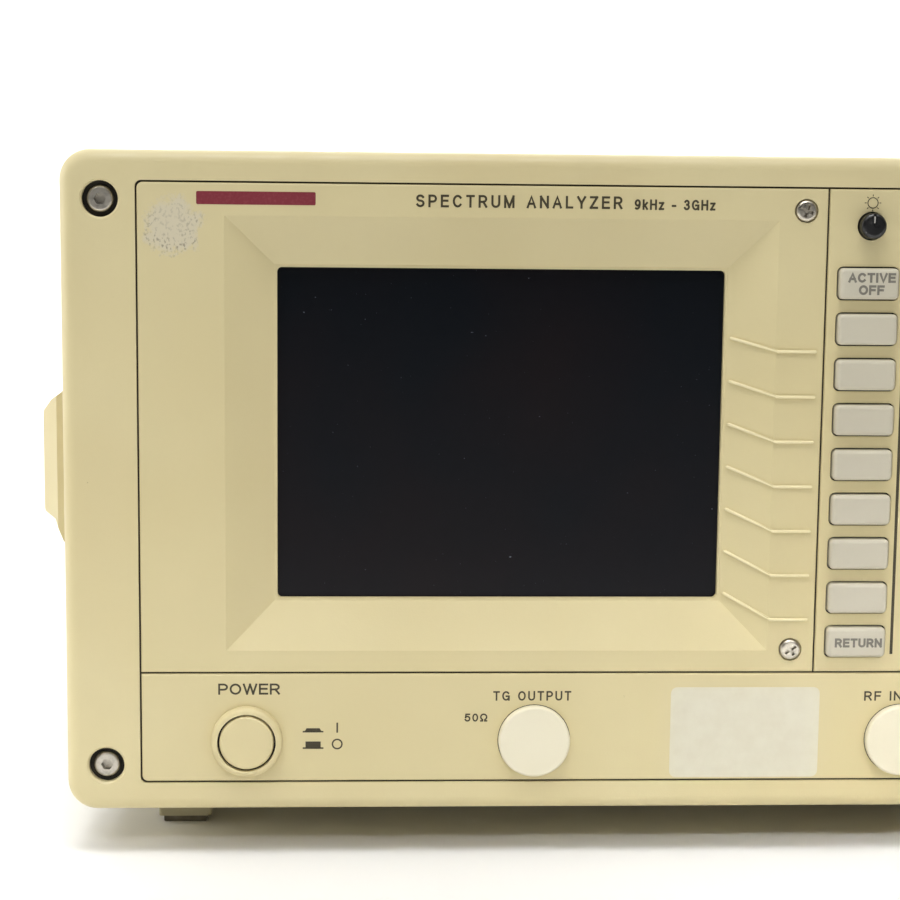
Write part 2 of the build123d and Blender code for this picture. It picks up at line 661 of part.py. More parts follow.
# ---- back ----
def rear_panel():
    """Plate that carries the connectors, the mains inlet and the fan."""
    panel = slab(IN_X0 + 0.1, IN_X1 - 0.1, IN_Z0, IN_Z1, REAR_PANEL_Y, REAR_PANEL_Y + SHEET, 5.1)
    y0, y1 = REAR_PANEL_Y - 1, REAR_PANEL_Y + SHEET + 1
    fx, fz = FAN_AT
    cutters = [rod(fx, fz, y0, y1, FAN_SIZE / 2 - 2.5)]
    cutters += [rod(x, BNC_Z, y0, y1, 4.9) for x in BNC_X]
    cutters += [rod(x, z, y0, y1, 2.05) for x, z in rear_foot_places()]
    ix, iz = INLET_AT
    cutters.append(slab(ix - 15, ix + 15, iz - 26, iz + 26, y0, y1, 1.5))
    for x0, x1, z0, z1 in interface_windows():
        cutters.append(slab(x0, x1, z0, z1, y0, y1, 1.0))
    return panel.cut(*cutters)


def interface_windows():
    """Cut-outs for the bus, printer and serial sockets, as x and z limits."""
    return [(204.0, 262.0, 99.0, 114.0), (204.0, 252.0, 70.0, 82.0), (268.0, 296.0, 70.0, 82.0)]


def interface_connectors():
    """Three multi-way sockets in metal shells with a body behind the panel."""
    sockets = []
    for x0, x1, z0, z1 in interface_windows():
        shell = slab(x0 + 1, x1 - 1, z0 + 1, z1 - 1, REAR_PANEL_Y - 12, REAR_PANEL_Y + 6.5, 1.6)
        flange = slab(x0 - 5, x1 + 5, z0 - 0.4, z1 + 0.4, REAR_PANEL_Y - 3, REAR_PANEL_Y - 0.05, 0.8)
        shell += flange
        shell -= slab(x0 + 1.8, x1 - 1.8, z0 + 1.8, z1 - 1.8, REAR_PANEL_Y + 0.6, REAR_PANEL_Y + 8, 1.2)
        tongue = slab(x0 + 6, x1 - 6, (z0 + z1) / 2 - 1.5, (z0 + z1) / 2 + 1.5, REAR_PANEL_Y + 0.5,
                      REAR_PANEL_Y + 5.5, 0.5)
        sockets.append(shell + tongue)
    return group(sockets)


def bnc_jacks():
    """The calibration jack in the front and the row of jacks in the back."""
    rear = [bnc_jack(x, BNC_Z, REAR_PANEL_Y + SHEET, 1) for x in BNC_X]
    return group([bnc_jack(CAL_X, CONTROL_Z, 0, -1)] + rear)


def ac_inlet():
    """Mains inlet with three blades in its socket and a slot above it for the fuse drawer."""
    x, z = INLET_AT
    face = REAR_PANEL_Y + SHEET
    body = slab(x - 14.5, x + 14.5, z - 25, z + 25, face - 26, face, 1.2)
    body += slab(x - 20, x + 20, z - 29, z + 29, face, face + 2.5, 3)
    body -= slab(x - 12.4, x + 12.4, z - 22, z - 4, face - 16, face + 3, 3)
    body -= block(x - 11.2, x + 11.2, face - 20, face + 3, z + 4.8, z + 19.2)
    blades = [block(x + dx - 1, x + dx + 1, face - 16.1, face - 4, z - 13 + dz - 2, z - 13 + dz + 2)
              for dx, dz in ((-7, -2.2), (7, -2.2), (0, 3.2))]
    return body.fuse(*blades)


def fuse_drawer():
    x, z = INLET_AT
    face = REAR_PANEL_Y + SHEET
    drawer = block(x - 10.9, x + 10.9, face - 19.8, face + 2.6, z + 5.1, z + 18.9)
    lip = slab(x - 12.5, x + 12.5, z + 4.4, z + 19.6, face + 2.6, face + 4.4, 1.2)
    drawer += lip
    drawer -= block(x - 8.5, x + 8.5, face - 17, face + 0.5, z + 8.5, z + 20)
    drawer += bar_y_fuse(x, z + 11.6, face)
    return drawer


def bar_y_fuse(x, z, face):
    """Fuse lying across the drawer's tray."""
    return bar(face - 8, z, x - 8.6, x + 8.6, 2.6)


def rear_foot_places():
    return [(x, z) for x in (20.0, WIDTH - 20.0) for z in (20.0, HEIGHT - 20.0)]


def rear_feet():
    """Four stand-off feet that the cord winds around, each with a screw well."""
    feet = []
    y0 = REAR_PANEL_Y + SHEET
    for x, z in rear_foot_places():
        foot = slab(x - 10, x + 10, z - 10, z + 10, y0, REAR_FOOT_END, 4)
        foot = fillet(edges_at(foot, Axis.Y, REAR_FOOT_END), 1.5)
        inner = 1 if x < WIDTH / 2 else -1
        neck = sorted((x + inner * 7.0, x + inner * 11.0))
        foot -= block(neck[0], neck[1], y0 + 7, REAR_FOOT_END - 5, z - 12, z + 12)
        foot -= rod(x, z, REAR_FOOT_END - REAR_FOOT_WELL, REAR_FOOT_END + 1, 3.6)
        foot -= rod(x, z, y0 - 1, REAR_FOOT_END, 2.05)
        feet.append(foot)
    return group(feet)


# ---- fan ----
def fan_housing():
    x, z = FAN_AT
    half = FAN_SIZE / 2
    y0, y1 = REAR_PANEL_Y - FAN_T, REAR_PANEL_Y
    housing = slab(x - half, x + half, z - half, z + half, y0, y1, 4)
    housing -= rod(x, z, y0 - 1, y1 + 1, half - 2.0)
    hub = rod(x, z, y0, y0 + 4, 17)
    arms = [Pos(x, 0, z) * Rot(0, 90 * i + 20, 0) * block(-2, 2, y0, y0 + 3, 10, half - 1) for i in range(4)]
    hub_assembly = hub.fuse(*arms)
    return housing + hub_assembly + rod(x, z, y0 + 3.9, y0 + 16, 3.0)


def fan_rotor():
    """Seven pitched blades around a hub that turns on the housing's post."""
    x, z = FAN_AT
    y0 = REAR_PANEL_Y - FAN_T + 4.6
    rotor = Cylinder(16, 18, align=MID)
    blade = Pos(0, 0, 9) * Rot(36, 0, 0) * Box(38 - 15, 19, 1.6)
    blade = Pos(15 + 11.0, 0, 0) * blade
    limit = Cylinder(36.6, 18, align=MID)
    blades = [Rot(0, 0, 360 / 7 * i) * blade for i in range(7)]
    rotor = rotor.fuse(*blades) & limit
    rotor -= Pos(0, 0, -1) * Cylinder(3.06, 13.2, align=MID)
    return Pos(x, y0, z) * Rot(-90, 0, 0) * rotor


def fan_guard():
    """Finger guard: four rings on a cross of bars, with an eye at each corner."""
    x, z = FAN_AT
    y0 = REAR_PANEL_Y + SHEET
    y1 = y0 + 1.8
    guard = slab(x - 53, x + 53, z - 0.9, z + 0.9, y0, y1, 0.8)
    guard = Pos(x, 0, z) * Rot(0, 45, 0) * Pos(-x, 0, -z) * guard
    other = Pos(x, 0, z) * Rot(0, 90, 0) * Pos(-x, 0, -z) * guard
    rings = [rod(x, z, y0, y1, r + 0.9) - rod(x, z, y0 - 1, y1 + 1, r - 0.9) for r in (9.0, 18.5, 28.0, 37.5)]
    eyes = [rod(x + dx, z + dz, y0, y1, 4.2) for dx in (-35.7, 35.7) for dz in (-35.7, 35.7)]
    return guard.fuse(other, *rings, *eyes)


# ---- feet ----
def foot_sides():
    return FOOT_X, WIDTH - FOOT_X


def front_feet():
    """Two blocks, each with a thin rear part and ears for a folding leg."""
    feet = []
    half = FOOT_W / 2
    bottom = -FOOT_DROP + PAD_T
    for x in foot_sides():
        foot = block(x - half, x + half, FRONT_FOOT_Y, FRONT_FOOT_Y + 14, bottom, CASE_Z0)
        foot = fillet(foot.edges().filter_by(Axis.Z), 1.2)
        foot += block(x - half, x + half, FRONT_FOOT_Y + 10, FRONT_FOOT_Y + 60, -1.8, CASE_Z0)
        y, z = LEG_PIVOT
        for side in (-1, 1):
            ear = sorted((x + side * half, x + side * (half - 2.4)))
            foot += block(ear[0], ear[1], y - 5.2, y + 5, z - 2.8, -1.7)
        feet.append(foot)
    return group(feet)


def tilt_leg(x):
    """Folding leg, stored flat under its foot on a cross pin."""
    y, z = LEG_PIVOT
    half = FOOT_W / 2 - 2.8
    leg = block(x - half, x + half, y - 1.0, y + LEG_LENGTH, z - 2.6, z + 2.6)
    leg += bar(y, z, x - half, x + half, 3.4)
    leg += block(x - half, x + half, y + LEG_LENGTH - 6, y + LEG_LENGTH, z - 3.4, z + 3.4)
    return leg + bar(y, z, x - half - 0.35, x + half + 0.35, 1.2)


def rear_bottom_feet():
    feet = []
    half = FOOT_W / 2
    bottom = -FOOT_DROP + PAD_T
    for x in foot_sides():
        foot = block(x - half, x + half, REAR_FOOT_Y, REAR_FOOT_Y + 30, bottom, CASE_Z0)
        feet.append(fillet(foot.edges().filter_by(Axis.Z), 1.2))
    return group(feet)


def foot_pads():
    pads = []
    half = FOOT_W / 2 - PAD_INSET
    for x in foot_sides():
        for y0, y1 in ((FRONT_FOOT_Y + 0.8, FRONT_FOOT_Y + 12.6), (REAR_FOOT_Y + 2, REAR_FOOT_Y + 28)):
            pad = block(x - half, x + half, y0, y1, -FOOT_DROP, -FOOT_DROP + PAD_T)
            pads.append(fillet(edges_at(pad, Axis.Z, -FOOT_DROP), 0.6))
    return group(pads)


# ---- handle ----
def handle_end_cap(y_outer, inward):
    """Bevelled cap on the left side; inward is +1 when the strap leaves it towards the back."""
    ys = sorted((y_outer, y_outer + inward * CAP_LENGTH))
    out = HANDLE_OUT
    profile = Polyline(
        (CASE_X0, HANDLE_Z - 24.5), (-8.8, HANDLE_Z - 23.8), (-9.9, HANDLE_Z - 21.0),
        (-11.4, HANDLE_Z - 17.2), (-out + 0.3, HANDLE_Z - 15.7), (-out, HANDLE_Z - 15.0),
        (-out, HANDLE_Z + 12.6), (-out + 0.2, HANDLE_Z + 14.6), (-12.3, HANDLE_Z + 18.2),
        (-9.0, HANDLE_Z + 20.6), (-7.0, HANDLE_Z + 22.6), (CASE_X0, HANDLE_Z + 24.0),
        (CASE_X0, HANDLE_Z - 24.5))
    face = make_face(Plane.XZ * profile)
    cap = Pos(0, ys[0], 0) * extrude(face, ys[1] - ys[0], dir=(0, 1, 0))
    nose = y_outer
    wedge_run = 9.0
    wedge = Polyline((-out - 1, nose - inward * 0.01), (-out + 5.0, nose - inward * 0.01),
                     (-out - 1, nose + inward * wedge_run), (-out - 1, nose - inward * 0.01))
    cap -= Pos(0, 0, HANDLE_Z - 40) * extrude(make_face(wedge), 80, dir=(0, 0, 1))
    for y, z in handle_screw_places():
        cap -= bar(y, z, -7, CASE_X0 + 1, HANDLE_BOLT_R + 0.15)
    slot_ys = sorted((y_outer + inward * 11.0, y_outer + inward * (CAP_LENGTH + 1)))
    cap -= block(STRAP_X0 - STRAP_LIFT - 0.4, STRAP_X1 + 0.4, slot_ys[0], slot_ys[1],
                 HANDLE_Z - STRAP_HALF - 0.4, HANDLE_Z + STRAP_HALF + 0.4)
    return cap


def handle_caps():
    return group([handle_end_cap(HANDLE_FRONT_Y, 1), handle_end_cap(HANDLE_REAR_Y, -1)])


def handle_strap():
    """Grip strap whose ends lie inside the caps, with a thicker ribbed middle."""
    strap = block(STRAP_X0, STRAP_X1, STRAP_Y0, STRAP_Y1, HANDLE_Z - STRAP_HALF, HANDLE_Z + STRAP_HALF)
    strap = fillet(strap.edges().filter_by(Axis.Y), 1.4)
    grip_y0, grip_y1 = HANDLE_FRONT_Y + CAP_LENGTH + 6, HANDLE_REAR_Y - CAP_LENGTH - 6
    grip = block(STRAP_X0 - 1.4, STRAP_X1, grip_y0, grip_y1, HANDLE_Z - STRAP_HALF - 1.2,
                 HANDLE_Z + STRAP_HALF + 1.2)
    grip = fillet(grip.edges().filter_by(Axis.Y), 1.6)
    return strap + grip


def handle_screw_places():
    """Two bolts for each cap, as y and z; the front pair comes first."""
    return [(y, HANDLE_Z + dz) for y in (HANDLE_FRONT_Y + 22, HANDLE_REAR_Y - 22) for dz in (-17.0, 17.0)]


def handle_screws():
    """Bolts from inside the chassis into the handle's caps."""
    inner_face = IN_X0 + 0.1 + SHEET
    return group([bar(y, z, inner_face, inner_face + 2.6, 3.6) + bar(y, z, -6.5, inner_face + 0.1, HANDLE_BOLT_R)
                  for y, z in handle_screw_places()])


# ---- inside ----
def power_supply():
    """Vented steel box with a row of terminals and a transformer."""
    box = block(300, 405, 120, 262, IN_Z0 + SHEET, 92)
    box = fillet(box.edges().filter_by(Axis.Y), 2)
    box -= block(301.5, 403.5, 121.5, 260.5, IN_Z0 + 2 * SHEET, 90.5)
    slots = [block(310 + 9 * i, 314 + 9 * i, 130, 250, 90, 93) for i in range(10)]
    box = box.cut(*slots)
    terminals = [block(306 + 11 * i, 313 + 11 * i, 112, 120.1, 20, 30) for i in range(8)]
    return box.fuse(*terminals)


def rf_module():
    """Screened front-end: a milled box, open below, with a lid, filter cans and coaxial stubs."""
    box = block(40, 240, 50, 190, IN_Z0 + SHEET, 48) - block(44, 236, 54, 186, IN_Z0, 46)
    lid = block(37, 243, 47, 193, 48, 51)
    cans = [post(70 + 34 * i, 80, 50.9, 60, 8) for i in range(5)]
    stubs = [rod(x, CONTROL_Z + 10, 38, 50.1, 3.2) for x in (TG_X, RF_X)]
    return box.fuse(lid, *cans, *stubs)


def main_board():
    """Processor board on tall posts above the screened module."""
    board = block(30, 240, 50, 255, 76, 77.8)
    chips = [block(50 + 44 * i, 76 + 44 * i, 80 + 50 * j, 106 + 50 * j, 77.7, 81) for i in range(4) for j in range(3)]
    posts = [post(x, y, IN_Z0 + SHEET, 76.1, 3.5) for x in (34, 236) for y in (200, 250)]
    card_slot = block(50, 220, 230, 238, 77.7, 88)
    return board.fuse(card_slot, *chips, *posts)


# ---- joints and mounts need these places, so they are printed in the part's own frame ----
def in_frame(x, y, z):
    return [round(v / 1000, 6) for v in (x - ORIGIN.X, y - ORIGIN.Y, z - ORIGIN.Z)]


def export_all():
    places = softkey_places()
    nodes = {
        "front_frame": front_frame(),
        "frame_screws": frame_screws(),
        "display_panel": display_panel(),
        "key_panel": key_panel(),
        "lower_panel": lower_panel(),
        "panel_screws": panel_screws(),
        "display_window": display_window(),
        "lcd_module": lcd_module(),
        "display_bracket": display_bracket(),
        "key_mat": key_mat(),
        "key_board": key_board(),
        "active_off_key": key_cap(*places[0]),
        "return_key": key_cap(*places[-1]),
        "function_keys_left": key_group(function_places(0)),
        "function_keys_right": key_group(function_places(1)),
        "number_keys": key_group(number_places()),
        "unit_keys": key_group(unit_places()),
        "step_keys": key_group(step_places()),
        "brightness_knob": brightness_knob(),
        "brightness_potentiometer": brightness_pot(),
        "data_knob": data_knob(),
        "rotary_encoder": rotary_encoder(),
        "power_ring": power_ring(),
        "power_button": power_button(),
        "power_switch": power_switch(),
        "tg_connector": n_connector(TG_X),
        "rf_connector": n_connector(RF_X),
        "tg_cap": n_cap(TG_X),
        "rf_cap": n_cap(RF_X),
        "chassis": chassis(),
        "top_cover": top_cover(),
        "bottom_cover": bottom_cover(),
        "casing_screws": casing_screws(),
        "rear_panel": rear_panel(),
        "interface_connectors": interface_connectors(),
        "bnc_jacks": bnc_jacks(),
        "ac_inlet": ac_inlet(),
        "fuse_drawer": fuse_drawer(),
        "rear_feet": rear_feet(),
        "fan_housing": fan_housing(),
        "fan_rotor": fan_rotor(),
        "fan_guard": fan_guard(),
        "front_feet": front_feet(),
        "left_tilt_leg": tilt_leg(FOOT_X),
        "right_tilt_leg": tilt_leg(WIDTH - FOOT_X),
        "rear_bottom_feet": rear_bottom_feet(),
        "foot_pads": foot_pads(),
        "handle_caps": handle_caps(),
        "handle_strap": handle_strap(),
        "handle_screws": handle_screws(),
        "power_supply": power_supply(),
        "rf_module": rf_module(),
        "main_board": main_board(),
    }
    for number in range(1, SOFTKEY_COUNT - 1):
        nodes[f"softkey_{number}"] = key_cap(*places[number])
    os.makedirs("parts", exist_ok=True)
    for name, shape in nodes.items():
        export_step(Location(-ORIGIN) * shape, f"parts/{name}.step")
    for name, place in (("brightness", (BRIGHTNESS_AT[0], 0, BRIGHTNESS_AT[1])),
                        ("data knob", (DATA_KNOB_AT[0], 0, DATA_KNOB_AT[1])),
                        ("fan", (FAN_AT[0], REAR_PANEL_Y, FAN_AT[1])),
                        ("left leg", (FOOT_X, *LEG_PIVOT)),
                        ("right leg", (WIDTH - FOOT_X, *LEG_PIVOT))):
        print(name, in_frame(*place))


export_all()
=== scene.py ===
"""Looks for the benchtop spectrum analyzer.

Materials, printed markings, small surface pieces, the stage, the lights and the camera. Every piece hangs
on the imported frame: lengths are in metres, and values in millimetres are multiplied by MM.
"""

import json
import math

import bpy
from mathutils import Matrix, Vector


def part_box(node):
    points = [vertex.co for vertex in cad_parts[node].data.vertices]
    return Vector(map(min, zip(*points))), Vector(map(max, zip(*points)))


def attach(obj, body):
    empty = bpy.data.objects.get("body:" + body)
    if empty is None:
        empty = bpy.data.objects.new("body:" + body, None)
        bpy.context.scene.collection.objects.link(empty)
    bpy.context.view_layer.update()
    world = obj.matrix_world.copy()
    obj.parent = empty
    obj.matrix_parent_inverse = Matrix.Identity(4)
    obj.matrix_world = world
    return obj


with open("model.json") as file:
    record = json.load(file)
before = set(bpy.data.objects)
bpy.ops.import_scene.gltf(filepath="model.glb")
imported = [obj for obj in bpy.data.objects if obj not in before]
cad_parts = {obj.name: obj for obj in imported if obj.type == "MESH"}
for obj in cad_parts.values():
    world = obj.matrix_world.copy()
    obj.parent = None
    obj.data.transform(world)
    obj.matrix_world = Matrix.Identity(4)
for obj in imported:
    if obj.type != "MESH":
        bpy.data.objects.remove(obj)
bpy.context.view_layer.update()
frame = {"nodes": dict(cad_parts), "record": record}

MM = 0.001
NODES = frame["nodes"]
CASING = "casing"

# ---- places taken from the frame ----
FRAME_LOW, FRAME_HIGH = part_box("front_frame")
DISPLAY_LOW, DISPLAY_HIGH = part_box("display_panel")
KEYS_LOW, KEYS_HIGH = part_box("key_panel")
LOWER_LOW, LOWER_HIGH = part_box("lower_panel")
GROOVE = KEYS_LOW.x - DISPLAY_HIGH.x      # width of the gaps between the front panels
LEFT = FRAME_LOW.x
FACE_Y = LOWER_LOW.y                      # front face of the panels
TOP = FRAME_HIGH.z

# ---- shared sizes ----
INK_LIFT = 0.04 * MM                      # how far printing stands off its surface, and how deep it goes in
PANEL_CORNER_R = 1.6 * MM
SCREW_HEAD_R = 3.45 * MM                  # heads of the four corner screws
SCREW_SEAT_R = 4.72 * MM
SOFTKEY_TEXT_SHIFT = 0.5 * MM
KEY_SIZE = Vector((16.0 * MM, 0.0, 8.2 * MM))
KEY_FLANGE = Vector((18.6 * MM, 0.0, 10.8 * MM))
KEY_BLOCKS = {            # columns and rows of the keys that are moulded together
    "function_keys_left": (1, 8), "function_keys_right": (1, 8), "number_keys": (3, 4), "unit_keys": (1, 4),
    "step_keys": (1, 2),
}
SINGLE_KEYS = ["active_off_key"] + [f"softkey_{i}" for i in range(1, 8)] + ["return_key"]
KEY_NODES = SINGLE_KEYS + list(KEY_BLOCKS)
REAR_JACK_X = [LEFT + (206.0 + 26.0 * i) * MM for i in range(4)]


def centre(node):
    """Middle of a CAD node's box."""
    low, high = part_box(node)
    return (low + high) / 2


def at(x_mm, down_mm):
    """Point on the front face, so far right of the frame's left side and so far below its top."""
    return Vector((LEFT + x_mm * MM, FACE_Y, TOP - down_mm * MM))


# ---- materials ----
class Shader:
    """Small helper around one material's node tree."""

    def __init__(self, name, material=None):
        self.material = material or bpy.data.materials.new(name)
        self.material.use_nodes = True
        self.tree = self.material.node_tree
        self.bsdf = self.tree.nodes["Principled BSDF"]
        self.coordinates = self.node("ShaderNodeTexCoord").outputs["Object"]

    def node(self, kind, **settings):
        """New shader node; settings are the values of its inputs."""
        made = self.tree.nodes.new(kind)
        for key, value in settings.items():
            made.inputs[key].default_value = value
        return made

    def link(self, source, target):
        self.tree.links.new(source, target)

    def noise(self, scale, detail=3.0, roughness=0.55, stretch=None):
        """Noise over object coordinates; stretch gives the scale along each axis."""
        made = self.node("ShaderNodeTexNoise", Scale=scale, Detail=detail, Roughness=roughness)
        source = self.coordinates
        if stretch:
            mapping = self.node("ShaderNodeMapping")
            mapping.inputs["Scale"].default_value = stretch
            self.link(source, mapping.inputs["Vector"])
            source = mapping.outputs["Vector"]
        self.link(source, made.inputs["Vector"])
        return made.outputs["Fac"]

    def ramp(self, source, low, high, dark=0.0, bright=1.0):
        """Value that goes from dark to bright as source goes from low to high."""
        made = self.node("ShaderNodeMapRange")
        made.inputs["From Min"].default_value = low
        made.inputs["From Max"].default_value = high
        made.inputs["To Min"].default_value = dark
        made.inputs["To Max"].default_value = bright
        self.link(source, made.inputs["Value"])
        return made.outputs["Result"]

    def mix(self, factor, first, second):
        """Colour mix; first and second are colours or sockets."""
        made = self.tree.nodes.new("ShaderNodeMix")
        made.data_type = "RGBA"
        self.link(factor, made.inputs["Factor"])
        for socket, value in (("A", first), ("B", second)):
            target = [s for s in made.inputs if s.name == socket and s.type == "RGBA"][0]
            if isinstance(value, (tuple, list)):
                target.default_value = (*value, 1.0)
            else:
                self.link(value, target)
        return [s for s in made.outputs if s.type == "RGBA"][0]

    def calculate(self, operation, first, second):
        """Result of one calculation; first and second are numbers or sockets."""
        made = self.tree.nodes.new("ShaderNodeMath")
        made.operation = operation
        for socket, value in zip(made.inputs, (first, second)):
            if isinstance(value, (int, float)):
                socket.default_value = value
            else:
                self.link(value, socket)
        return made.outputs[0]

    def multiply(self, first, second):
        return self.calculate("MULTIPLY", first, second)

    def add(self, first, second):
        return self.calculate("ADD", first, second)

    def axis(self, name):
        """One of the object coordinates."""
        made = self.node("ShaderNodeSeparateXYZ")
        self.link(self.coordinates, made.inputs[0])
        return made.outputs[name]

    def bump(self, height, strength, distance):
        """Fine relief from a height; distance is the full depth in metres."""
        made = self.node("ShaderNodeBump", Strength=strength, Distance=distance)
        self.link(height, made.inputs["Height"])
        self.link(made.outputs["Normal"], self.bsdf.inputs["Normal"])

    def colour(self, source):
        self.link(source, self.bsdf.inputs["Base Color"])

    def roughness(self, source):
        self.link(source, self.bsdf.inputs["Roughness"])


def srgb(red, green, blue):
    """Linear colour from everyday 0 to 255 values."""
    def linear(value):
        value /= 255
        return value / 12.92 if value <= 0.04045 else ((value + 0.055) / 1.055) ** 2.4
    return linear(red), linear(green), linear(blue)


def aged_plastic(name, tone, aged, grain=1.0, rough=(0.42, 0.58)):
    """Moulded plastic with a fine texture, slow yellowing, dust specks and faint rubbing."""
    s = Shader(name)
    base = s.mix(s.ramp(s.noise(14, 2), 0.35, 0.7), tone, aged)
    tint = s.mix(s.ramp(s.noise(70, 4), 0.4, 0.75, 0, 0.35), base, tuple(v * 0.93 for v in tone))
    dirt = s.ramp(s.noise(900, 1.5), 0.80, 0.86, 0, 0.55)
    where = s.ramp(s.noise(45, 2), 0.5, 0.62)
    s.colour(s.mix(s.multiply(dirt, where), tint, srgb(96, 84, 58)))
    rub = s.noise(160, 3, stretch=(1.0, 1.0, 0.22))
    s.roughness(s.ramp(rub, 0.35, 0.7, *rough))
    s.bsdf.inputs["Specular IOR Level"].default_value = 0.42
    s.bump(s.add(s.noise(2600, 2), s.multiply(s.noise(700, 2), 0.5)), 0.22 * grain, 0.00012)
    return s.material


def powder_coat(name, tone, aged):
    """Sprayed paint on sheet steel: a pebbled skin with a few scuffs."""
    s = Shader(name)
    base = s.mix(s.ramp(s.noise(9, 3), 0.35, 0.7), tone, aged)
    scuff = s.ramp(s.noise(60, 6, 0.7, stretch=(0.35, 1.0, 2.2)), 0.66, 0.74, 0, 0.5)
    base = s.mix(scuff, base, tuple(v * 0.8 for v in tone))
    s.colour(base)
    s.roughness(s.ramp(s.noise(120, 3), 0.3, 0.7, 0.40, 0.56))
    s.bump(s.noise(1500, 2.5), 0.45, 0.0002)
    return s.material


def metal(name, tone, rough, streak=(1.0, 1.0, 1.0), dirt=0.0):
    """Plated or brushed metal with streaks and some tarnish."""
    s = Shader(name)
    tarnish = s.ramp(s.noise(420, 4, 0.65), 0.45, 0.75, 0, dirt)
    s.colour(s.mix(tarnish, tone, tuple(v * 0.35 for v in tone)))
    s.bsdf.inputs["Metallic"].default_value = 1.0
    lines = s.noise(700.0, 3, 0.6, stretch=streak)
    s.roughness(s.ramp(lines, 0.3, 0.7, rough * 0.75, rough * 1.3))
    s.bump(lines, 0.12, 0.00006)
    return s.material


def dark_plastic(name, tone, rough, coat=0.0):
    """Dark moulded plastic, greyer where it has been handled."""
    s = Shader(name)
    wear = s.ramp(s.noise(260, 4), 0.55, 0.8, 0, 0.5)
    s.colour(s.mix(wear, tone, tuple(min(1.0, v * 1.9 + 0.004) for v in tone)))
    s.roughness(s.ramp(s.noise(500, 3), 0.3, 0.7, rough * 0.8, rough * 1.25))
    s.bsdf.inputs["Coat Weight"].default_value = coat
    s.bsdf.inputs["Coat Roughness"].default_value = 0.08
    s.bump(s.noise(1900, 2), 0.15, 0.00008)
    return s.material


def rubber(name, tone):
    """Matt rubber with a little bloom."""
    s = Shader(name)
    s.colour(s.mix(s.ramp(s.noise(180, 4), 0.45, 0.75), tone, tuple(v * 1.8 + 0.01 for v in tone)))
    s.roughness(s.ramp(s.noise(300, 3), 0.3, 0.7, 0.72, 0.92))
    s.bump(s.noise(1400, 3), 0.3, 0.00015)
    return s.material


def circuit_board(name):
    """Green solder mask with copper-coloured runs under it."""
    s = Shader(name)
    runs = s.ramp(s.noise(260, 0, stretch=(0.2, 1.0, 1.0)), 0.49, 0.51)
    s.colour(s.mix(runs, srgb(18, 74, 44), srgb(34, 104, 60)))
    s.roughness(s.ramp(s.noise(400, 2), 0.3, 0.7, 0.25, 0.4))
    s.bump(runs, 0.3, 0.00005)
    return s.material


def dark_screen(name):
    """The switched-off display seen through its window: near black, glossy, with dust on the surface."""
    s = Shader(name)
    warm = s.ramp(s.noise(16, 2), 0.35, 0.7)
    base = s.mix(warm, srgb(12, 15, 20), srgb(22, 17, 19))
    fine = s.ramp(s.noise(1500, 1.0), 0.775, 0.80, 0, 0.5)
    patch = s.ramp(s.noise(60, 3), 0.42, 0.6)
    coarse = s.ramp(s.noise(620, 1.5), 0.79, 0.81, 0, 0.75)
    dust = s.add(s.multiply(fine, patch), coarse)
    s.colour(s.mix(dust, base, srgb(120, 128, 140)))
    s.roughness(s.ramp(s.noise(700, 2), 0.35, 0.7, 0.2, 0.26))
    s.bsdf.inputs["Specular IOR Level"].default_value = 0.11
    return s.material


def ink(name, tone, wear=0.25):
    """Silk-screened ink, slightly worn where it has been touched."""
    s = Shader(name)
    worn_tone = tuple(min(1.0, v * 1.5 + 0.05) for v in tone)
    s.colour(s.mix(s.ramp(s.noise(1500, 3), 0.5, 0.75, 0, wear), tone, worn_tone))
    s.roughness(s.ramp(s.noise(800, 2), 0.3, 0.7, 0.5, 0.65))
    s.bump(s.noise(3000, 2), 0.1, 0.00004)
    return s.material


PANEL_TONES = srgb(210, 197, 152), srgb(203, 189, 143)
MATERIALS = {
    "cream_frame": aged_plastic("cream_frame_plastic", srgb(212, 199, 154), srgb(205, 190, 144)),
    "panel_plastic": aged_plastic("panel_plastic", *PANEL_TONES),
    "key_plastic": aged_plastic("key_plastic", srgb(197, 191, 172), srgb(189, 182, 162), 0.5, (0.34, 0.46)),
    "cap_plastic": aged_plastic("cap_plastic", srgb(228, 221, 196), srgb(220, 212, 185), 0.4, (0.35, 0.5)),
    "foot_plastic": aged_plastic("foot_plastic", srgb(168, 160, 128), srgb(156, 147, 116)),
    "strap_plastic": aged_plastic("strap_plastic", srgb(204, 194, 156), srgb(194, 182, 142), 1.4),
    "cover_paint": powder_coat("cover_paint", srgb(206, 194, 152), srgb(198, 184, 140)),
    "rear_sheet": powder_coat("rear_sheet_paint", srgb(200, 192, 160), srgb(192, 182, 148)),
    "black_plastic": dark_plastic("black_plastic", srgb(13, 12, 13), 0.34, 0.1),
    "knob_plastic": dark_plastic("knob_plastic", srgb(70, 66, 60), 0.45),
    "grey_plastic": dark_plastic("grey_plastic", srgb(92, 88, 80), 0.55),
    "pad_rubber": rubber("pad_rubber", srgb(82, 75, 59)),
    "dome_rubber": rubber("dome_rubber", srgb(150, 148, 142)),
    "circuit_board": circuit_board("circuit_board"),
    "steel_screw": metal("steel_screw", srgb(190, 184, 172), 0.42, dirt=0.7),
    "bright_screw": metal("bright_screw", srgb(200, 193, 178), 0.33, dirt=0.85),
    "steel_sheet": metal("steel_sheet", srgb(184, 184, 178), 0.38, (0.1, 1.0, 1.0), 0.2),
    "plated_connector": metal("plated_connector", srgb(200, 196, 184), 0.22, dirt=0.35),
    "milled_aluminium": metal("milled_aluminium", srgb(206, 206, 204), 0.36, (1.0, 0.08, 1.0), 0.1),
    "window": dark_screen("dark_screen"),
}
INK = ink("panel_ink", srgb(56, 48, 25), 0.15)
KEY_INK = ink("key_ink", srgb(114, 110, 100), 0.35)
MAROON = ink("maroon_ink", srgb(120, 30, 44), 0.3)
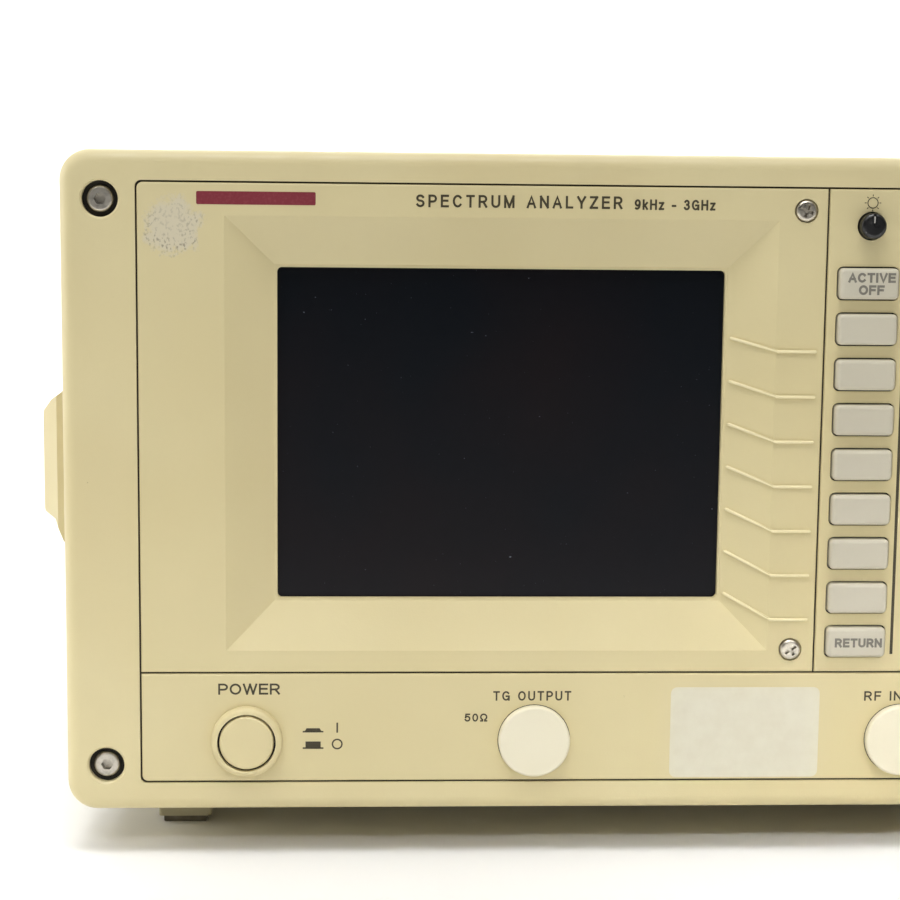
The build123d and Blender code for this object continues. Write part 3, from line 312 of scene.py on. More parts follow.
# Painted shade: near-black finishes for the flat sheets put in gaps, seams and screw seats where shade falls.
GROOVE_DARK = rubber("groove_shadow", srgb(31, 24, 8))
GAP_DARK = rubber("gap_shadow", srgb(20, 16, 7))
# Painted highlight: a paler copy of the panel plastic for the crests of the raised guide lines.
CREST_HIGHLIGHT = aged_plastic("crest_painted_highlight", srgb(232, 221, 180), srgb(225, 213, 170))


def worn_panel():
    """The display panel's plastic, with the grey rest of an old sticker in its top left corner."""
    material = aged_plastic("display_panel_plastic", *PANEL_TONES)
    s = Shader("display_panel_worn", material)
    spot = at(29.4, 19.6)
    reach = 10.5 * MM
    across, up = s.add(s.axis("X"), -spot.x), s.add(s.axis("Z"), -spot.z)
    distance = s.add(s.multiply(across, across), s.multiply(up, up))
    near = s.ramp(distance, 0.0, reach ** 2, 0.62, 0.0)
    ragged = s.add(s.multiply(s.noise(210, 3, 0.6), 0.75), s.multiply(s.noise(1100, 4, 0.75), 0.45))
    film = s.ramp(s.add(near, ragged), 0.84, 1.02, 0, 0.6)
    lower_part = s.ramp(s.axis("Z"), spot.z - 4 * MM, spot.z + 7 * MM, 1.0, 0.3)
    outer_part = s.ramp(distance, (2 * MM) ** 2, (6 * MM) ** 2, 0.45, 1.0)
    flakes = s.ramp(s.noise(1500, 3, 0.6, stretch=(1.0, 1.0, 0.7)), 0.53, 0.63)
    marks = s.multiply(s.multiply(flakes, film), s.multiply(lower_part, outer_part))
    under = s.bsdf.inputs["Base Color"].links[0].from_socket
    filmed = s.mix(film, under, srgb(203, 196, 180))
    s.colour(s.mix(marks, filmed, srgb(74, 68, 62)))
    return material


WORN_PANEL = worn_panel()


def dress_frame():
    """Gives every CAD node the finish of its slot, with smooth curved faces."""
    slots = {entry["node"]: entry["material_slot"] for entry in frame["record"]["subparts"]}
    for name, piece in NODES.items():
        piece.data.materials.clear()
        piece.data.materials.append(WORN_PANEL if name == "display_panel" else MATERIALS[slots[name]])
        for polygon in piece.data.polygons:
            polygon.use_smooth = True
        flat_from = 9 if name == "display_panel" else 28
        piece.data.set_sharp_from_angle(angle=math.radians(flat_from))


# ---- making pieces ----
def mesh_piece(name, vertices, faces, material, body=CASING, smooth=False):
    """A named mesh with the given material that rides on a body."""
    data = bpy.data.meshes.new(name)
    data.from_pydata(vertices, [], faces)
    data.update()
    piece = bpy.data.objects.new(name, data)
    bpy.context.scene.collection.objects.link(piece)
    data.materials.append(material)
    for polygon in data.polygons:
        polygon.use_smooth = smooth
    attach(piece, body)
    return piece


def prism(name, outline, y_front, y_back, material, body=CASING):
    """Closed solid from an outline of (x, z) points, given anticlockwise as seen from the front."""
    count = len(outline)
    front = [(x, y_front, z) for x, z in outline]
    back = [(x, y_back, z) for x, z in outline]
    faces = [tuple(range(count)), tuple(range(2 * count - 1, count - 1, -1))]
    for i in range(count):
        j = (i + 1) % count
        faces.append((j, i, i + count, j + count))
    return mesh_piece(name, front + back, faces, material, body)


def rounded_outline(x0, x1, z0, z1, r, steps=6):
    """Rounded rectangle as (x, z) points."""
    points = []
    corners = [(x1 - r, z1 - r, 0), (x0 + r, z1 - r, 90), (x0 + r, z0 + r, 180), (x1 - r, z0 + r, 270)]
    for cx, cz, start in corners:
        for i in range(steps + 1):
            turn = math.radians(start + 90 * i / steps)
            points.append((cx + r * math.cos(turn), cz + r * math.sin(turn)))
    return points


def outline_band(name, outer, inner, y_front, y_back, material):
    """Closed ring between two outlines that have the same number of points."""
    count = len(outer)
    rings = [(outer, y_front), (inner, y_front), (inner, y_back), (outer, y_back)]
    vertices = [(x, y, z) for points, y in rings for x, z in points]
    faces = []
    for ring in range(4):
        following = (ring + 1) % 4
        for i in range(count):
            j = (i + 1) % count
            faces.append((ring * count + i, ring * count + j, following * count + j, following * count + i))
    return mesh_piece(name, vertices, faces, material)


def tube_faces(rings, sides):
    """Faces of a closed tube whose vertices are given ring by ring."""
    faces = [tuple(range(sides))[::-1], tuple(range((rings - 1) * sides, rings * sides))]
    for ring in range(rings - 1):
        near, far = ring * sides, (ring + 1) * sides
        for k in range(sides):
            following = (k + 1) % sides
            faces.append((near + k, near + following, far + following, far + k))
    return faces


def circle_outline(x, z, r, steps=40):
    """Circle as (x, z) points."""
    return [(x + r * math.cos(2 * math.pi * i / steps), z + r * math.sin(2 * math.pi * i / steps))
            for i in range(steps)]


def arc(cx, cy, rx, ry, start, end, steps=10):
    """Points along part of an ellipse, angles in degrees."""
    turns = [math.radians(start + (end - start) * i / steps) for i in range(steps + 1)]
    return [(cx + rx * math.cos(t), cy + ry * math.sin(t)) for t in turns]


def bowl(right, low, high):
    """Half-round bowl of a letter, open on its left."""
    r = (high - low) / 2
    return [(0, high)] + arc(right - r, low + r, r, r, 90, -90, 8) + [(0, low)]


# Each letter: its width, then its strokes as points in a cell one unit high.
LETTERS = {
    " ": (0.24, []),
    "A": (0.70, [[(0, 0), (0.35, 1), (0.70, 0)], [(0.12, 0.32), (0.58, 0.32)]]),
    "B": (0.64, [[(0, 0), (0, 1)], bowl(0.60, 0.53, 1), bowl(0.64, 0, 0.53)]),
    "C": (0.72, [arc(0.37, 0.5, 0.37, 0.5, 42, 318, 18)]),
    "D": (0.68, [[(0, 0), (0, 1), (0.26, 1)] + arc(0.26, 0.5, 0.42, 0.5, 90, -90, 12) + [(0, 0)]]),
    "E": (0.58, [[(0.58, 1), (0, 1), (0, 0), (0.58, 0)], [(0, 0.53), (0.53, 0.53)]]),
    "F": (0.55, [[(0.55, 1), (0, 1), (0, 0)], [(0, 0.5), (0.48, 0.5)]]),
    "G": (0.74, [arc(0.38, 0.5, 0.38, 0.5, 42, 330, 18), [(0.42, 0.46), (0.74, 0.46), (0.74, 0)]]),
    "H": (0.66, [[(0, 0), (0, 1)], [(0.66, 0), (0.66, 1)], [(0, 0.52), (0.66, 0.52)]]),
    "I": (0.02, [[(0, 0), (0, 1)]]),
    "J": (0.48, [[(0.48, 1), (0.48, 0.28)] + arc(0.24, 0.26, 0.24, 0.26, 0, -180)]),
    "K": (0.66, [[(0, 0), (0, 1)], [(0.64, 1), (0, 0.34)], [(0.22, 0.58), (0.66, 0)]]),
    "L": (0.52, [[(0, 1), (0, 0), (0.52, 0)]]),
    "M": (0.80, [[(0, 0), (0, 1)], [(0, 1), (0.40, 0)], [(0.40, 0), (0.80, 1)], [(0.80, 1), (0.80, 0)]]),
    "N": (0.66, [[(0, 0), (0, 1)], [(0, 1), (0.66, 0)], [(0.66, 0), (0.66, 1)]]),
    "O": (0.76, [arc(0.38, 0.5, 0.38, 0.5, 0, 360, 24)]),
    "P": (0.62, [[(0, 0), (0, 1)], bowl(0.62, 0.44, 1)]),
    "Q": (0.76, [arc(0.38, 0.5, 0.38, 0.5, 0, 360, 24), [(0.48, 0.22), (0.74, -0.04)]]),
    "R": (0.66, [[(0, 0), (0, 1)], bowl(0.63, 0.46, 1), [(0.36, 0.46), (0.64, 0)]]),
    "S": (0.62, [arc(0.31, 0.755, 0.29, 0.245, 25, 250, 10) + arc(0.31, 0.26, 0.31, 0.26, 70, -155, 12)]),
    "T": (0.62, [[(0, 1), (0.62, 1)], [(0.31, 1), (0.31, 0)]]),
    "U": (0.66, [[(0, 1), (0, 0.32)] + arc(0.33, 0.32, 0.33, 0.32, 180, 360, 12) + [(0.66, 1)]]),
    "V": (0.66, [[(0, 1), (0.33, 0), (0.66, 1)]]),
    "W": (0.98, [[(0, 1), (0.25, 0)], [(0.25, 0), (0.49, 1)], [(0.49, 1), (0.73, 0)],
                 [(0.73, 0), (0.98, 1)]]),
    "X": (0.66, [[(0, 0), (0.66, 1)], [(0, 1), (0.66, 0)]]),
    "Y": (0.66, [[(0, 1), (0.33, 0.42)], [(0.66, 1), (0.33, 0.42)], [(0.33, 0.42), (0.33, 0)]]),
    "Z": (0.60, [[(0, 1), (0.60, 1)], [(0.60, 1), (0, 0)], [(0, 0), (0.60, 0)]]),
    "k": (0.46, [[(0, 0), (0, 1)], [(0.44, 0.70), (0, 0.26)], [(0.16, 0.42), (0.46, 0)]]),
    "z": (0.44, [[(0, 0.70), (0.44, 0.70)], [(0.44, 0.70), (0, 0)], [(0, 0), (0.44, 0)]]),
    "0": (0.54, [arc(0.27, 0.5, 0.27, 0.5, 0, 360, 20)]),
    "1": (0.26, [[(0, 0.76), (0.26, 1), (0.26, 0)]]),
    "2": (0.54, [arc(0.27, 0.72, 0.27, 0.28, 165, -35, 10) + [(0, 0), (0.54, 0)]]),
    "3": (0.54, [arc(0.26, 0.76, 0.24, 0.24, 155, -80), arc(0.26, 0.27, 0.28, 0.27, 85, -155)]),
    "4": (0.56, [[(0.42, 0), (0.42, 1), (0, 0.28), (0.56, 0.28)]]),
    "5": (0.54, [[(0.50, 1), (0.09, 1), (0.04, 0.50)], arc(0.26, 0.33, 0.28, 0.33, 140, -155, 12)]),
    "6": (0.54, [arc(0.27, 0.31, 0.27, 0.31, 0, 360, 18), arc(0.34, 0.40, 0.34, 0.60, 65, 190)]),
    "7": (0.54, [[(0, 1), (0.54, 1), (0.18, 0)]]),
    "8": (0.54, [arc(0.27, 0.76, 0.24, 0.24, 0, 360, 16), arc(0.27, 0.27, 0.27, 0.27, 0, 360, 16)]),
    "9": (0.54, [arc(0.27, 0.69, 0.27, 0.31, 0, 360, 18), arc(0.20, 0.60, 0.34, 0.60, 10, -115)]),
    ".": (0.02, [[(0, 0), (0, 0.03)]]),
    "-": (0.34, [[(0, 0.38), (0.34, 0.38)]]),
    "\u03a9": (0.72, [[(0, 0), (0.22, 0)] + arc(0.36, 0.58, 0.36, 0.42, 247, -67, 16)
                      + [(0.50, 0), (0.72, 0)]]),
}


def ribbon(points, width):
    """Left and right edges of a stroke of constant width along some points."""
    points = [Vector(p) for p in points]
    closed = (points[0] - points[-1]).length < 1e-9
    if not closed:
        points[0] = points[0] - (points[1] - points[0]).normalized() * width / 2
        points[-1] = points[-1] + (points[-1] - points[-2]).normalized() * width / 2
    last = len(points) - 1
    left, right = [], []
    for i, point in enumerate(points):
        before = points[last - 1] if closed and i == 0 else points[max(0, i - 1)]
        after = points[1] if closed and i == last else points[min(last, i + 1)]
        ahead = (after - point).normalized() if after != point else (point - before).normalized()
        behind = (point - before).normalized() if point != before else ahead
        normal = Vector((-ahead.y - behind.y, ahead.x + behind.x)).normalized()
        reach = width / 2 / max(0.6, normal.dot(Vector((-ahead.y, ahead.x))))
        left.append(point + normal * reach)
        right.append(point - normal * reach)
    return left, right


def lettering(name, words, place, height_mm, material, body=CASING, width_mm=None, weight=0.15,
              facing="front", spacing=0.16):
    """Printed words as thin raised strokes centred on a place; a width stretches the letters."""
    height = height_mm * MM
    stroke = weight * height
    tall = height - stroke
    gap = spacing * height
    bare = sum(LETTERS[letter][0] for letter in words) * tall
    wide = 1.0
    if width_mm:
        wide = (width_mm * MM - stroke * len(words) - gap * (len(words) - 1)) / bare
    widths = [LETTERS[letter][0] * tall * wide + stroke for letter in words]
    start = -(sum(widths) + gap * (len(words) - 1)) / 2
    side = -1 if facing == "back" else 1
    vertices, faces = [], []
    for letter, width in zip(words, widths):
        for layer, points in enumerate(LETTERS[letter][1]):
            inked = [(start + stroke / 2 + x * tall * wide, y * tall - tall / 2) for x, y in points]
            left, right = ribbon(inked, stroke)
            first = len(vertices)
            lift = INK_LIFT * (1 + 0.12 * layer)
            for a, b in zip(left, right):
                for edge in (a, b):
                    for out in (-lift, INK_LIFT):
                        vertices.append((place.x + side * edge.x, place.y + side * out, place.z + edge.y))
            for i in range(len(points) - 1):
                k = first + 4 * i
                faces += [(k, k + 2, k + 6, k + 4), (k + 1, k + 5, k + 7, k + 3),
                          (k, k + 4, k + 5, k + 1), (k + 2, k + 3, k + 7, k + 6)]
            k = first + 4 * (len(points) - 1)
            faces += [(first, first + 1, first + 3, first + 2), (k, k + 2, k + 3, k + 1)]
        start += width + gap
    return mesh_piece(name, vertices, faces, material, body)


# ---- surface pieces on the front ----
def groove_shade_strips():
    """Painted shade: dark strips that lie in the gaps around the three front panels."""
    x0, x1 = DISPLAY_LOW.x - GROOVE, KEYS_HIGH.x + GROOVE
    z0, z1 = LOWER_LOW.z - GROOVE, DISPLAY_HIGH.z + GROOVE
    y0, y1 = FACE_Y + 0.7 * MM, FACE_Y + 1.3 * MM
    thin = 0.02 * MM
    outer = rounded_outline(x0 + thin, x1 - thin, z0 + thin, z1 - thin, PANEL_CORNER_R)
    inner = rounded_outline(x0 + GROOVE - thin, x1 - GROOVE + thin, z0 + GROOVE - thin, z1 - GROOVE + thin,
                            PANEL_CORNER_R)
    outline_band("groove_shade_outer", outer, inner, y0, y1, GROOVE_DARK)
    split_x0, split_x1 = DISPLAY_HIGH.x + thin, KEYS_LOW.x - thin
    split_z0, split_z1 = LOWER_HIGH.z + thin, DISPLAY_LOW.z - thin
    in_x0, in_x1, in_z1 = x0 + GROOVE, x1 - GROOVE, z1 - GROOVE
    upright = [(split_x0, split_z1), (split_x1, split_z1), (split_x1, in_z1), (split_x0, in_z1)]
    across = [(in_x0, split_z0), (in_x1, split_z0), (in_x1, split_z1), (in_x0, split_z1)]
    prism("groove_shade_upright", upright, y0, y1, GROOVE_DARK)
    prism("groove_shade_across", across, y0, y1, GROOVE_DARK)


def key_gap_shades():
    """Painted shade: dark linings of the holes that the keys stand in, in the gap around each key."""
    inset, clear = 0.02 * MM, 0.08 * MM
    gap = 0.4 * MM
    radius = 1.25 * MM
    y0, y1 = FACE_Y + 0.9 * MM, FACE_Y + 2.4 * MM
    number = 0
    for node in KEY_NODES:
        for low, high in key_boxes(node):
            number += 1
            outer = rounded_outline(low.x - gap + inset, high.x + gap - inset, low.z - gap + inset,
                                    high.z + gap - inset, radius + gap - inset)
            inner = rounded_outline(low.x - clear, high.x + clear, low.z - clear, high.z + clear,
                                    radius + clear)
            outline_band(f"key_gap_{number:02d}", outer, inner, y0, y1, GAP_DARK)


def guide_crests():
    """Rounded crests along the raised lines between the screen and the softkeys, in a paler plastic that is a
    painted highlight.
    """
    count, r, sides = 7, 0.42 * MM, 12
    depth, slope_from, slope_to = 6.0, 176.8, 189.0
    start_x, bend_x, end_x = 177.9, 189.6, 199.5
    start_down, start_pitch = 48.3, 11.62
    end_down, end_pitch = 51.38, 12.12
    sunk = 0.12 * MM
    rib_height = 0.45 * MM
    for i in range(count):
        start = at(start_x, start_down + start_pitch * i)
        bend = at(bend_x, end_down + end_pitch * i)
        end = at(end_x, end_down + end_pitch * i)
        start.y += depth * MM * (slope_to - start_x) / (slope_to - slope_from)
        for point in (start, bend, end):
            point.y += sunk - rib_height
        first, last = (bend - start).normalized(), (end - bend).normalized()
        round_end = [math.radians(turn) for turn in (0, 25, 50, 80)]
        rings = [(start - first * r * math.sin(turn), first, r * math.cos(turn))
                 for turn in reversed(round_end)]
        rings.append((bend, (first + last).normalized(), r))
        rings += [(end + last * r * math.sin(turn), last, r * math.cos(turn)) for turn in round_end]
        vertices = []
        for place, along, radius in rings:
            side = along.cross(Vector((0, -1, 0))).normalized()
            out = side.cross(along)
            for k in range(sides):
                turn = 2 * math.pi * k / sides
                vertices.append(place + (side * math.cos(turn) + out * math.sin(turn)) * radius)
        mesh_piece(f"guide_crest_{i + 1}", vertices, tube_faces(len(rings), sides), CREST_HIGHLIGHT,
                   smooth=True)


def dark_gaps():
    """Painted shade: dark linings around the power button and in the corner screw seats, and a painted
    contact-shade ring around the caps.
    """
    low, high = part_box("power_button")
    x, z = (low.x + high.x) / 2, (low.z + high.z) / 2
    # Painted shade: a dark ring in the gap around the power button.
    outline_band("power_gap_shade", circle_outline(x, z, 7.83 * MM), circle_outline(x, z, 7.36 * MM),
                 FACE_Y - 1.2 * MM, FACE_Y + 1.5 * MM, GAP_DARK)
    # Painted contact shade: a thin dark ring on the face where each cap meets it.
    for cap in ("tg_cap", "rf_cap"):
        low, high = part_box(cap)
        x, z, r = (low.x + high.x) / 2, (low.z + high.z) / 2, (high.x - low.x) / 2
        outer, inner = circle_outline(x, z, r + 0.18 * MM), circle_outline(x, z, r - 0.5 * MM)
        outline_band(f"{cap}_contact_shade_ring", outer, inner, FACE_Y - 2 * INK_LIFT, FACE_Y + INK_LIFT, GROOVE_DARK)
    # Painted shade: dark rings deep in the corner screw seats, between each head and the wall.
    low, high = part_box("frame_screws")
    number = 0
    for x in (low.x + SCREW_HEAD_R, high.x - SCREW_HEAD_R):
        for z in (low.z + SCREW_HEAD_R, high.z - SCREW_HEAD_R):
            number += 1
            outer, inner = circle_outline(x, z, SCREW_SEAT_R), circle_outline(x, z, SCREW_HEAD_R + 0.08 * MM)
            outline_band(f"screw_seat_shade_{number}", outer, inner, FACE_Y + 2.4 * MM, FACE_Y + 4.75 * MM,
                         GAP_DARK)


def ink_bar(name, x_mm, down_mm, width_mm, height_mm, material=INK, radius_mm=0.0):
    """Flat printed or stuck-on rectangle, centred at a place on the face."""
    middle = at(x_mm, down_mm)
    half_w, half_h = width_mm * MM / 2, height_mm * MM / 2
    r = max(radius_mm, 0.02) * MM
    outline = rounded_outline(middle.x - half_w, middle.x + half_w, middle.z - half_h, middle.z + half_h, r,
                              4)
    return prism(name, outline, middle.y - INK_LIFT, middle.y + INK_LIFT, material)


def ink_ring(name, x_mm, down_mm, radius_mm, stroke_mm):
    """Printed ring on the face."""
    middle = at(x_mm, down_mm)
    outer = circle_outline(middle.x, middle.z, (radius_mm + stroke_mm / 2) * MM)
    inner = circle_outline(middle.x, middle.z, (radius_mm - stroke_mm / 2) * MM)
    return outline_band(name, outer, inner, middle.y - INK_LIFT, middle.y + INK_LIFT, INK)


def sun_symbol():
    """Brightness mark over the small knob: a thin ring with eight rays."""
    x_mm, down_mm = 213.6, 11.9
    ink_ring("sun_ring", x_mm, down_mm, 1.36, 0.24)
    middle = at(x_mm, down_mm)
    for i in range(8):
        turn = math.pi * i / 4
        along = Vector((math.cos(turn), math.sin(turn)))
        side = Vector((-along.y, along.x)) * 0.11 * MM
        ends = [along * 1.72 * MM, along * 2.2 * MM]
        corners = [ends[0] - side, ends[1] - side, ends[1] + side, ends[0] + side]
        outline = [(middle.x + c.x, middle.z + c.y) for c in corners]
        prism(f"sun_ray_{i + 1}", outline, middle.y - INK_LIFT, middle.y + INK_LIFT, INK)


def push_symbols():
    """In and out marks of the power button, with the on and off signs."""
    x_mm = 66.2
    ink_bar("push_in_base", x_mm, 155.0, 5.6, 0.42)
    middle = at(x_mm, 154.4)
    top, bottom = 1.75 * MM, 2.3 * MM
    outline = [(middle.x - bottom, middle.z - 0.5 * MM), (middle.x + bottom, middle.z - 0.5 * MM),
               (middle.x + top, middle.z + 0.35 * MM), (middle.x - top, middle.z + 0.35 * MM)]
    prism("push_in_cap", outline, middle.y - INK_LIFT, middle.y + INK_LIFT, INK)
    ink_bar("push_out_base", x_mm, 159.55, 5.6, 0.42)
    ink_bar("push_out_cap", x_mm, 158.6, 4.1, 1.75)
    ink_bar("on_sign", 72.7, 153.9, 0.46, 2.8)
    ink_ring("off_sign", 72.7, 158.45, 1.28, 0.42)


def front_lettering():
    """Generic words printed on the panels: place, height and width in mm, stroke and spacing by height."""
    texts = [
        ("title_text", "SPECTRUM ANALYZER", 120.0, 12.55, 3.3, 54.3, 0.175, 0.30),
        ("range_text", "9kHz - 3GHz", 161.0, 12.95, 2.75, 21.4, 0.19, 0.18),
        ("power_text", "POWER", 49.05, 143.2, 3.05, 16.6, 0.17, 0.14),
        ("tg_text", "TG OUTPUT", 125.4, 145.2, 2.65, 21.2, 0.17, 0.24),
        ("tg_ohm_text", "50\u03a9", 110.2, 151.2, 2.25, 6.2, 0.18, 0.22),
        ("rf_text", "RF INPUT", 225.6, 145.4, 2.65, 18.6, 0.17, 0.24),
        ("cal_text", "CAL OUT", 310.0, 145.4, 2.65, 16.6, 0.15, 0.24),
    ]
    for name, words, x_mm, down_mm, height, width, weight, spacing in texts:
        lettering(name, words, at(x_mm, down_mm), height, INK, width_mm=width,
                  weight=weight, spacing=spacing)


def key_centres(node):
    """Front centres of a node's keys, row by row from the top."""
    low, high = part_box(node)
    columns, rows = KEY_BLOCKS.get(node, (1, 1))
    step_x = (high.x - low.x - KEY_FLANGE.x) / max(1, columns - 1)
    step_z = (high.z - low.z - KEY_FLANGE.z) / max(1, rows - 1)
    first_x, first_z = low.x + KEY_FLANGE.x / 2, high.z - KEY_FLANGE.z / 2
    return [Vector((first_x + column * step_x, low.y, first_z - row * step_z))
            for row in range(rows) for column in range(columns)]


def key_boxes(node):
    """Low and high corner of each key of a node, without its flange."""
    return [(middle - KEY_SIZE / 2, middle + KEY_SIZE / 2) for middle in key_centres(node)]


def key_words(node, words, height, width, lift_mm=0.0):
    """Words printed on the front of a single key."""
    low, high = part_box(node)
    place = Vector(((low.x + high.x) / 2 + SOFTKEY_TEXT_SHIFT, low.y, (low.z + high.z) / 2 + lift_mm * MM))
    name = f"{node}_{words.lower()}_text"
    lettering(name, words, place, height, KEY_INK, node, width_mm=width, weight=0.24,
              spacing=0.09)


def block_lettering():
    """Words, digits and units on the blocks of keys."""
    blocks = {
        "function_keys_left": (["FREQ", "SPAN", "LEVEL", "MKR", "PEAK", "BW", "TRACE", "SWEEP"], 2.0),
        "function_keys_right": (["MEAS", "TRIG", "COUPLE", "CAL", "SAVE", "RECALL", "COPY", "PRESET"], 2.0),
        "number_keys": (["7", "8", "9", "4", "5", "6", "1", "2", "3", "0", ".", "DEL"], 3.0),
        "unit_keys": (["GHz", "MHz", "kHz", "Hz"], 2.4),
    }
    for node, (words, height) in blocks.items():
        for i, (word, place) in enumerate(zip(words, key_centres(node))):
            tall = 2.0 if len(word) > 3 else height
            lettering(f"{node}_text_{i + 1}", word, place, tall, KEY_INK, node, weight=0.17)
    for i, place in enumerate(key_centres("step_keys")):
        sign = 1 if i == 0 else -1
        outline = [(place.x - 1.8 * MM * sign, place.z - 1.1 * MM * sign),
                   (place.x + 1.8 * MM * sign, place.z - 1.1 * MM * sign),
                   (place.x, place.z + 1.5 * MM * sign)]
        prism(f"step_arrow_{i + 1}", outline, place.y - INK_LIFT, place.y + INK_LIFT, KEY_INK,
              "step_keys")


def knob_pointer():
    """Pale line in the notch of the brightness knob."""
    low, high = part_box("brightness_knob")
    x = (low.x + high.x) / 2
    outline = [(x - 0.2 * MM, high.z - 2.6 * MM), (x + 0.2 * MM, high.z - 2.6 * MM),
               (x + 0.2 * MM, high.z - 0.9 * MM), (x - 0.2 * MM, high.z - 0.9 * MM)]
    prism("brightness_pointer", outline, low.y + 0.15 * MM, low.y + 0.7 * MM, MATERIALS["dome_rubber"],
          "brightness_knob")


def blank_label():
    """Plain pale label stuck on the lower panel."""
    s = Shader("label_paper")
    s.colour(s.mix(s.ramp(s.noise(260, 4), 0.35, 0.7), srgb(213, 208, 187), srgb(209, 203, 181)))
    s.roughness(s.ramp(s.noise(300, 3), 0.3, 0.7, 0.5, 0.7))
    s.bump(s.noise(1200, 3), 0.2, 0.0001)
    ink_bar("blank_label", 183.6, 155.45, 40.8, 25.1, s.material, 1.7)


def rear_sockets():
    """Middle height and the left and right edge of each multi-way socket in the back."""
    low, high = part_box("interface_connectors")
    flange = 5 * MM
    upper, lower = high.z - 7.9 * MM, low.z + 6.4 * MM
    return {"bus": (upper, low.x + flange, low.x + 63 * MM),
            "printer": (lower, low.x + flange, low.x + 53 * MM),
            "serial": (lower, high.x - 33 * MM, high.x - flange)}


def back_lettering():
    """Generic words by the sockets at the back."""
    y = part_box("rear_panel")[1].y
    inlet_low, inlet_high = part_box("ac_inlet")
    above = 11 * MM
    words = [("line_text", "AC LINE", (inlet_low.x + inlet_high.x) / 2, inlet_high.z + 5 * MM, 2.8)]
    for name, (z, x0, x1) in rear_sockets().items():
        words.append((f"{name}_text", name.upper(), (x0 + x1) / 2, z + above, 2.8))
    jack_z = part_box("rear_panel")[1].z - 24 * MM
    for x, word in zip(REAR_JACK_X, ("REF IN", "REF OUT", "VIDEO", "TRIG IN")):
        words.append((f"{word.lower().replace(' ', '_')}_text", word, x, jack_z, 2.4))
    for name, word, x, z, height in words:
        lettering(name, word, Vector((x, y, z)), height, INK, facing="back")


def jack_screws():
    """Hexagonal screws on both sides of each multi-way socket."""
    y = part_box("rear_panel")[1].y
    steps, flat_r, bore_r, height = 24, 2.5 * MM, 1.3 * MM, 4.2 * MM
    for name, (z, x0, x1) in rear_sockets().items():
        for side, x in (("a", x0 - 3.4 * MM), ("b", x1 + 3.4 * MM)):
            outer = []
            for i in range(steps):
                turn = 2 * math.pi * i / steps
                across = turn % (math.pi / 3) - math.pi / 6
                r = flat_r / math.cos(across)
                outer.append((x + r * math.cos(turn), z + r * math.sin(turn)))
            inner = circle_outline(x, z, bore_r, steps)
            outline_band(f"{name}_jack_screw_{side}", outer, inner, y, y + height,
                         MATERIALS["bright_screw"])


def rear_prints():
    """Thin printed frames around the groups of sockets, and a plain rating plate."""
    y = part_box("rear_panel")[1].y
    sockets = rear_sockets()
    jack_z = centre("fan_guard").z + 42 * MM
    groups = {
        "jack_frame": (REAR_JACK_X[0] - 12 * MM, REAR_JACK_X[-1] + 12 * MM,
                       jack_z - 10 * MM, jack_z + 16 * MM),
        "socket_frame": (sockets["bus"][1] - 9 * MM, sockets["serial"][2] + 9 * MM,
                         sockets["serial"][0] - 10 * MM, sockets["bus"][0] + 17 * MM),
    }
    line = 0.45 * MM
    for name, (x0, x1, z0, z1) in groups.items():
        outer = rounded_outline(x0, x1, z0, z1, 2.5 * MM)
        inner = rounded_outline(x0 + line, x1 - line, z0 + line, z1 - line, 2.5 * MM - line)
        outline_band(name, outer, inner, y - INK_LIFT, y + INK_LIFT, INK)
    x, z = centre("ac_inlet").x - 4 * MM, centre("ac_inlet").z + 76 * MM
    half_w, half_h = 26 * MM, 11 * MM
    plate = rounded_outline(x - half_w, x + half_w, z - half_h, z + half_h, 1.5 * MM)
    prism("rating_plate", plate, y, y + 0.5 * MM, MATERIALS["milled_aluminium"])
    for i in range(4):
        row = z + half_h - (4 + 4.6 * i) * MM
        bar = rounded_outline(x - half_w + 4 * MM, x + half_w - (4 + 9 * (i % 2)) * MM, row - 0.3 * MM,
                              row + 0.3 * MM, 0.2 * MM)
        prism(f"rating_plate_line_{i + 1}", bar, y + 0.45 * MM, y + 0.55 * MM, INK)


def strap_ribs():
    """Grip ribs across the thick middle of the strap."""
    low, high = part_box("handle_strap")
    middle = (low + high) / 2
    count, pitch, r = 15, 4.4 * MM, 0.9 * MM
    half = (high.z - low.z) / 2 - 2.4 * MM
    for i in range(count):
        y = middle.y + (i - (count - 1) / 2) * pitch
        sides, rings = 12, 7
        vertices = []
        for k in range(rings):
            z = middle.z - half + 2 * half * k / (rings - 1)
            size = r * (0.25 if k in (0, rings - 1) else 1.0)
            vertices += [(low.x + size * 0.75 * math.cos(2 * math.pi * j / sides),
                          y + size * math.sin(2 * math.pi * j / sides), z) for j in range(sides)]
        mesh_piece(f"strap_rib_{i + 1:02d}", vertices, tube_faces(rings, sides), MATERIALS["strap_plastic"],
                   "handle_strap", True)


# ---- stage, light and camera ----
def stage():
    """Pale floor that sweeps up behind the object."""
    s = Shader("floor_white")
    s.colour(s.mix(s.ramp(s.noise(6, 3), 0.35, 0.7), (0.86, 0.86, 0.85), (0.82, 0.82, 0.81)))
    s.roughness(s.ramp(s.noise(30, 3), 0.3, 0.7, 0.6, 0.75))
    half, back, rise, sweep = 6.0, 2.6, 3.6, 1.2
    profile = [(-6.0, 0.0), (back - sweep, 0.0)]
    for i in range(1, 13):
        turn = math.pi / 2 * i / 12
        profile.append((back - sweep + sweep * math.sin(turn), sweep * (1 - math.cos(turn))))
    profile.append((back, rise))
    vertices = [(x, y, z) for y, z in profile for x in (-half, half)]
    faces = [(2 * i, 2 * i + 1, 2 * i + 3, 2 * i + 2) for i in range(len(profile) - 1)]
    data = bpy.data.meshes.new("floor")
    data.from_pydata(vertices, [], faces)
    data.materials.append(s.material)
    for polygon in data.polygons:
        polygon.use_smooth = True
    floor = bpy.data.objects.new("floor", data)
    bpy.context.scene.collection.objects.link(floor)


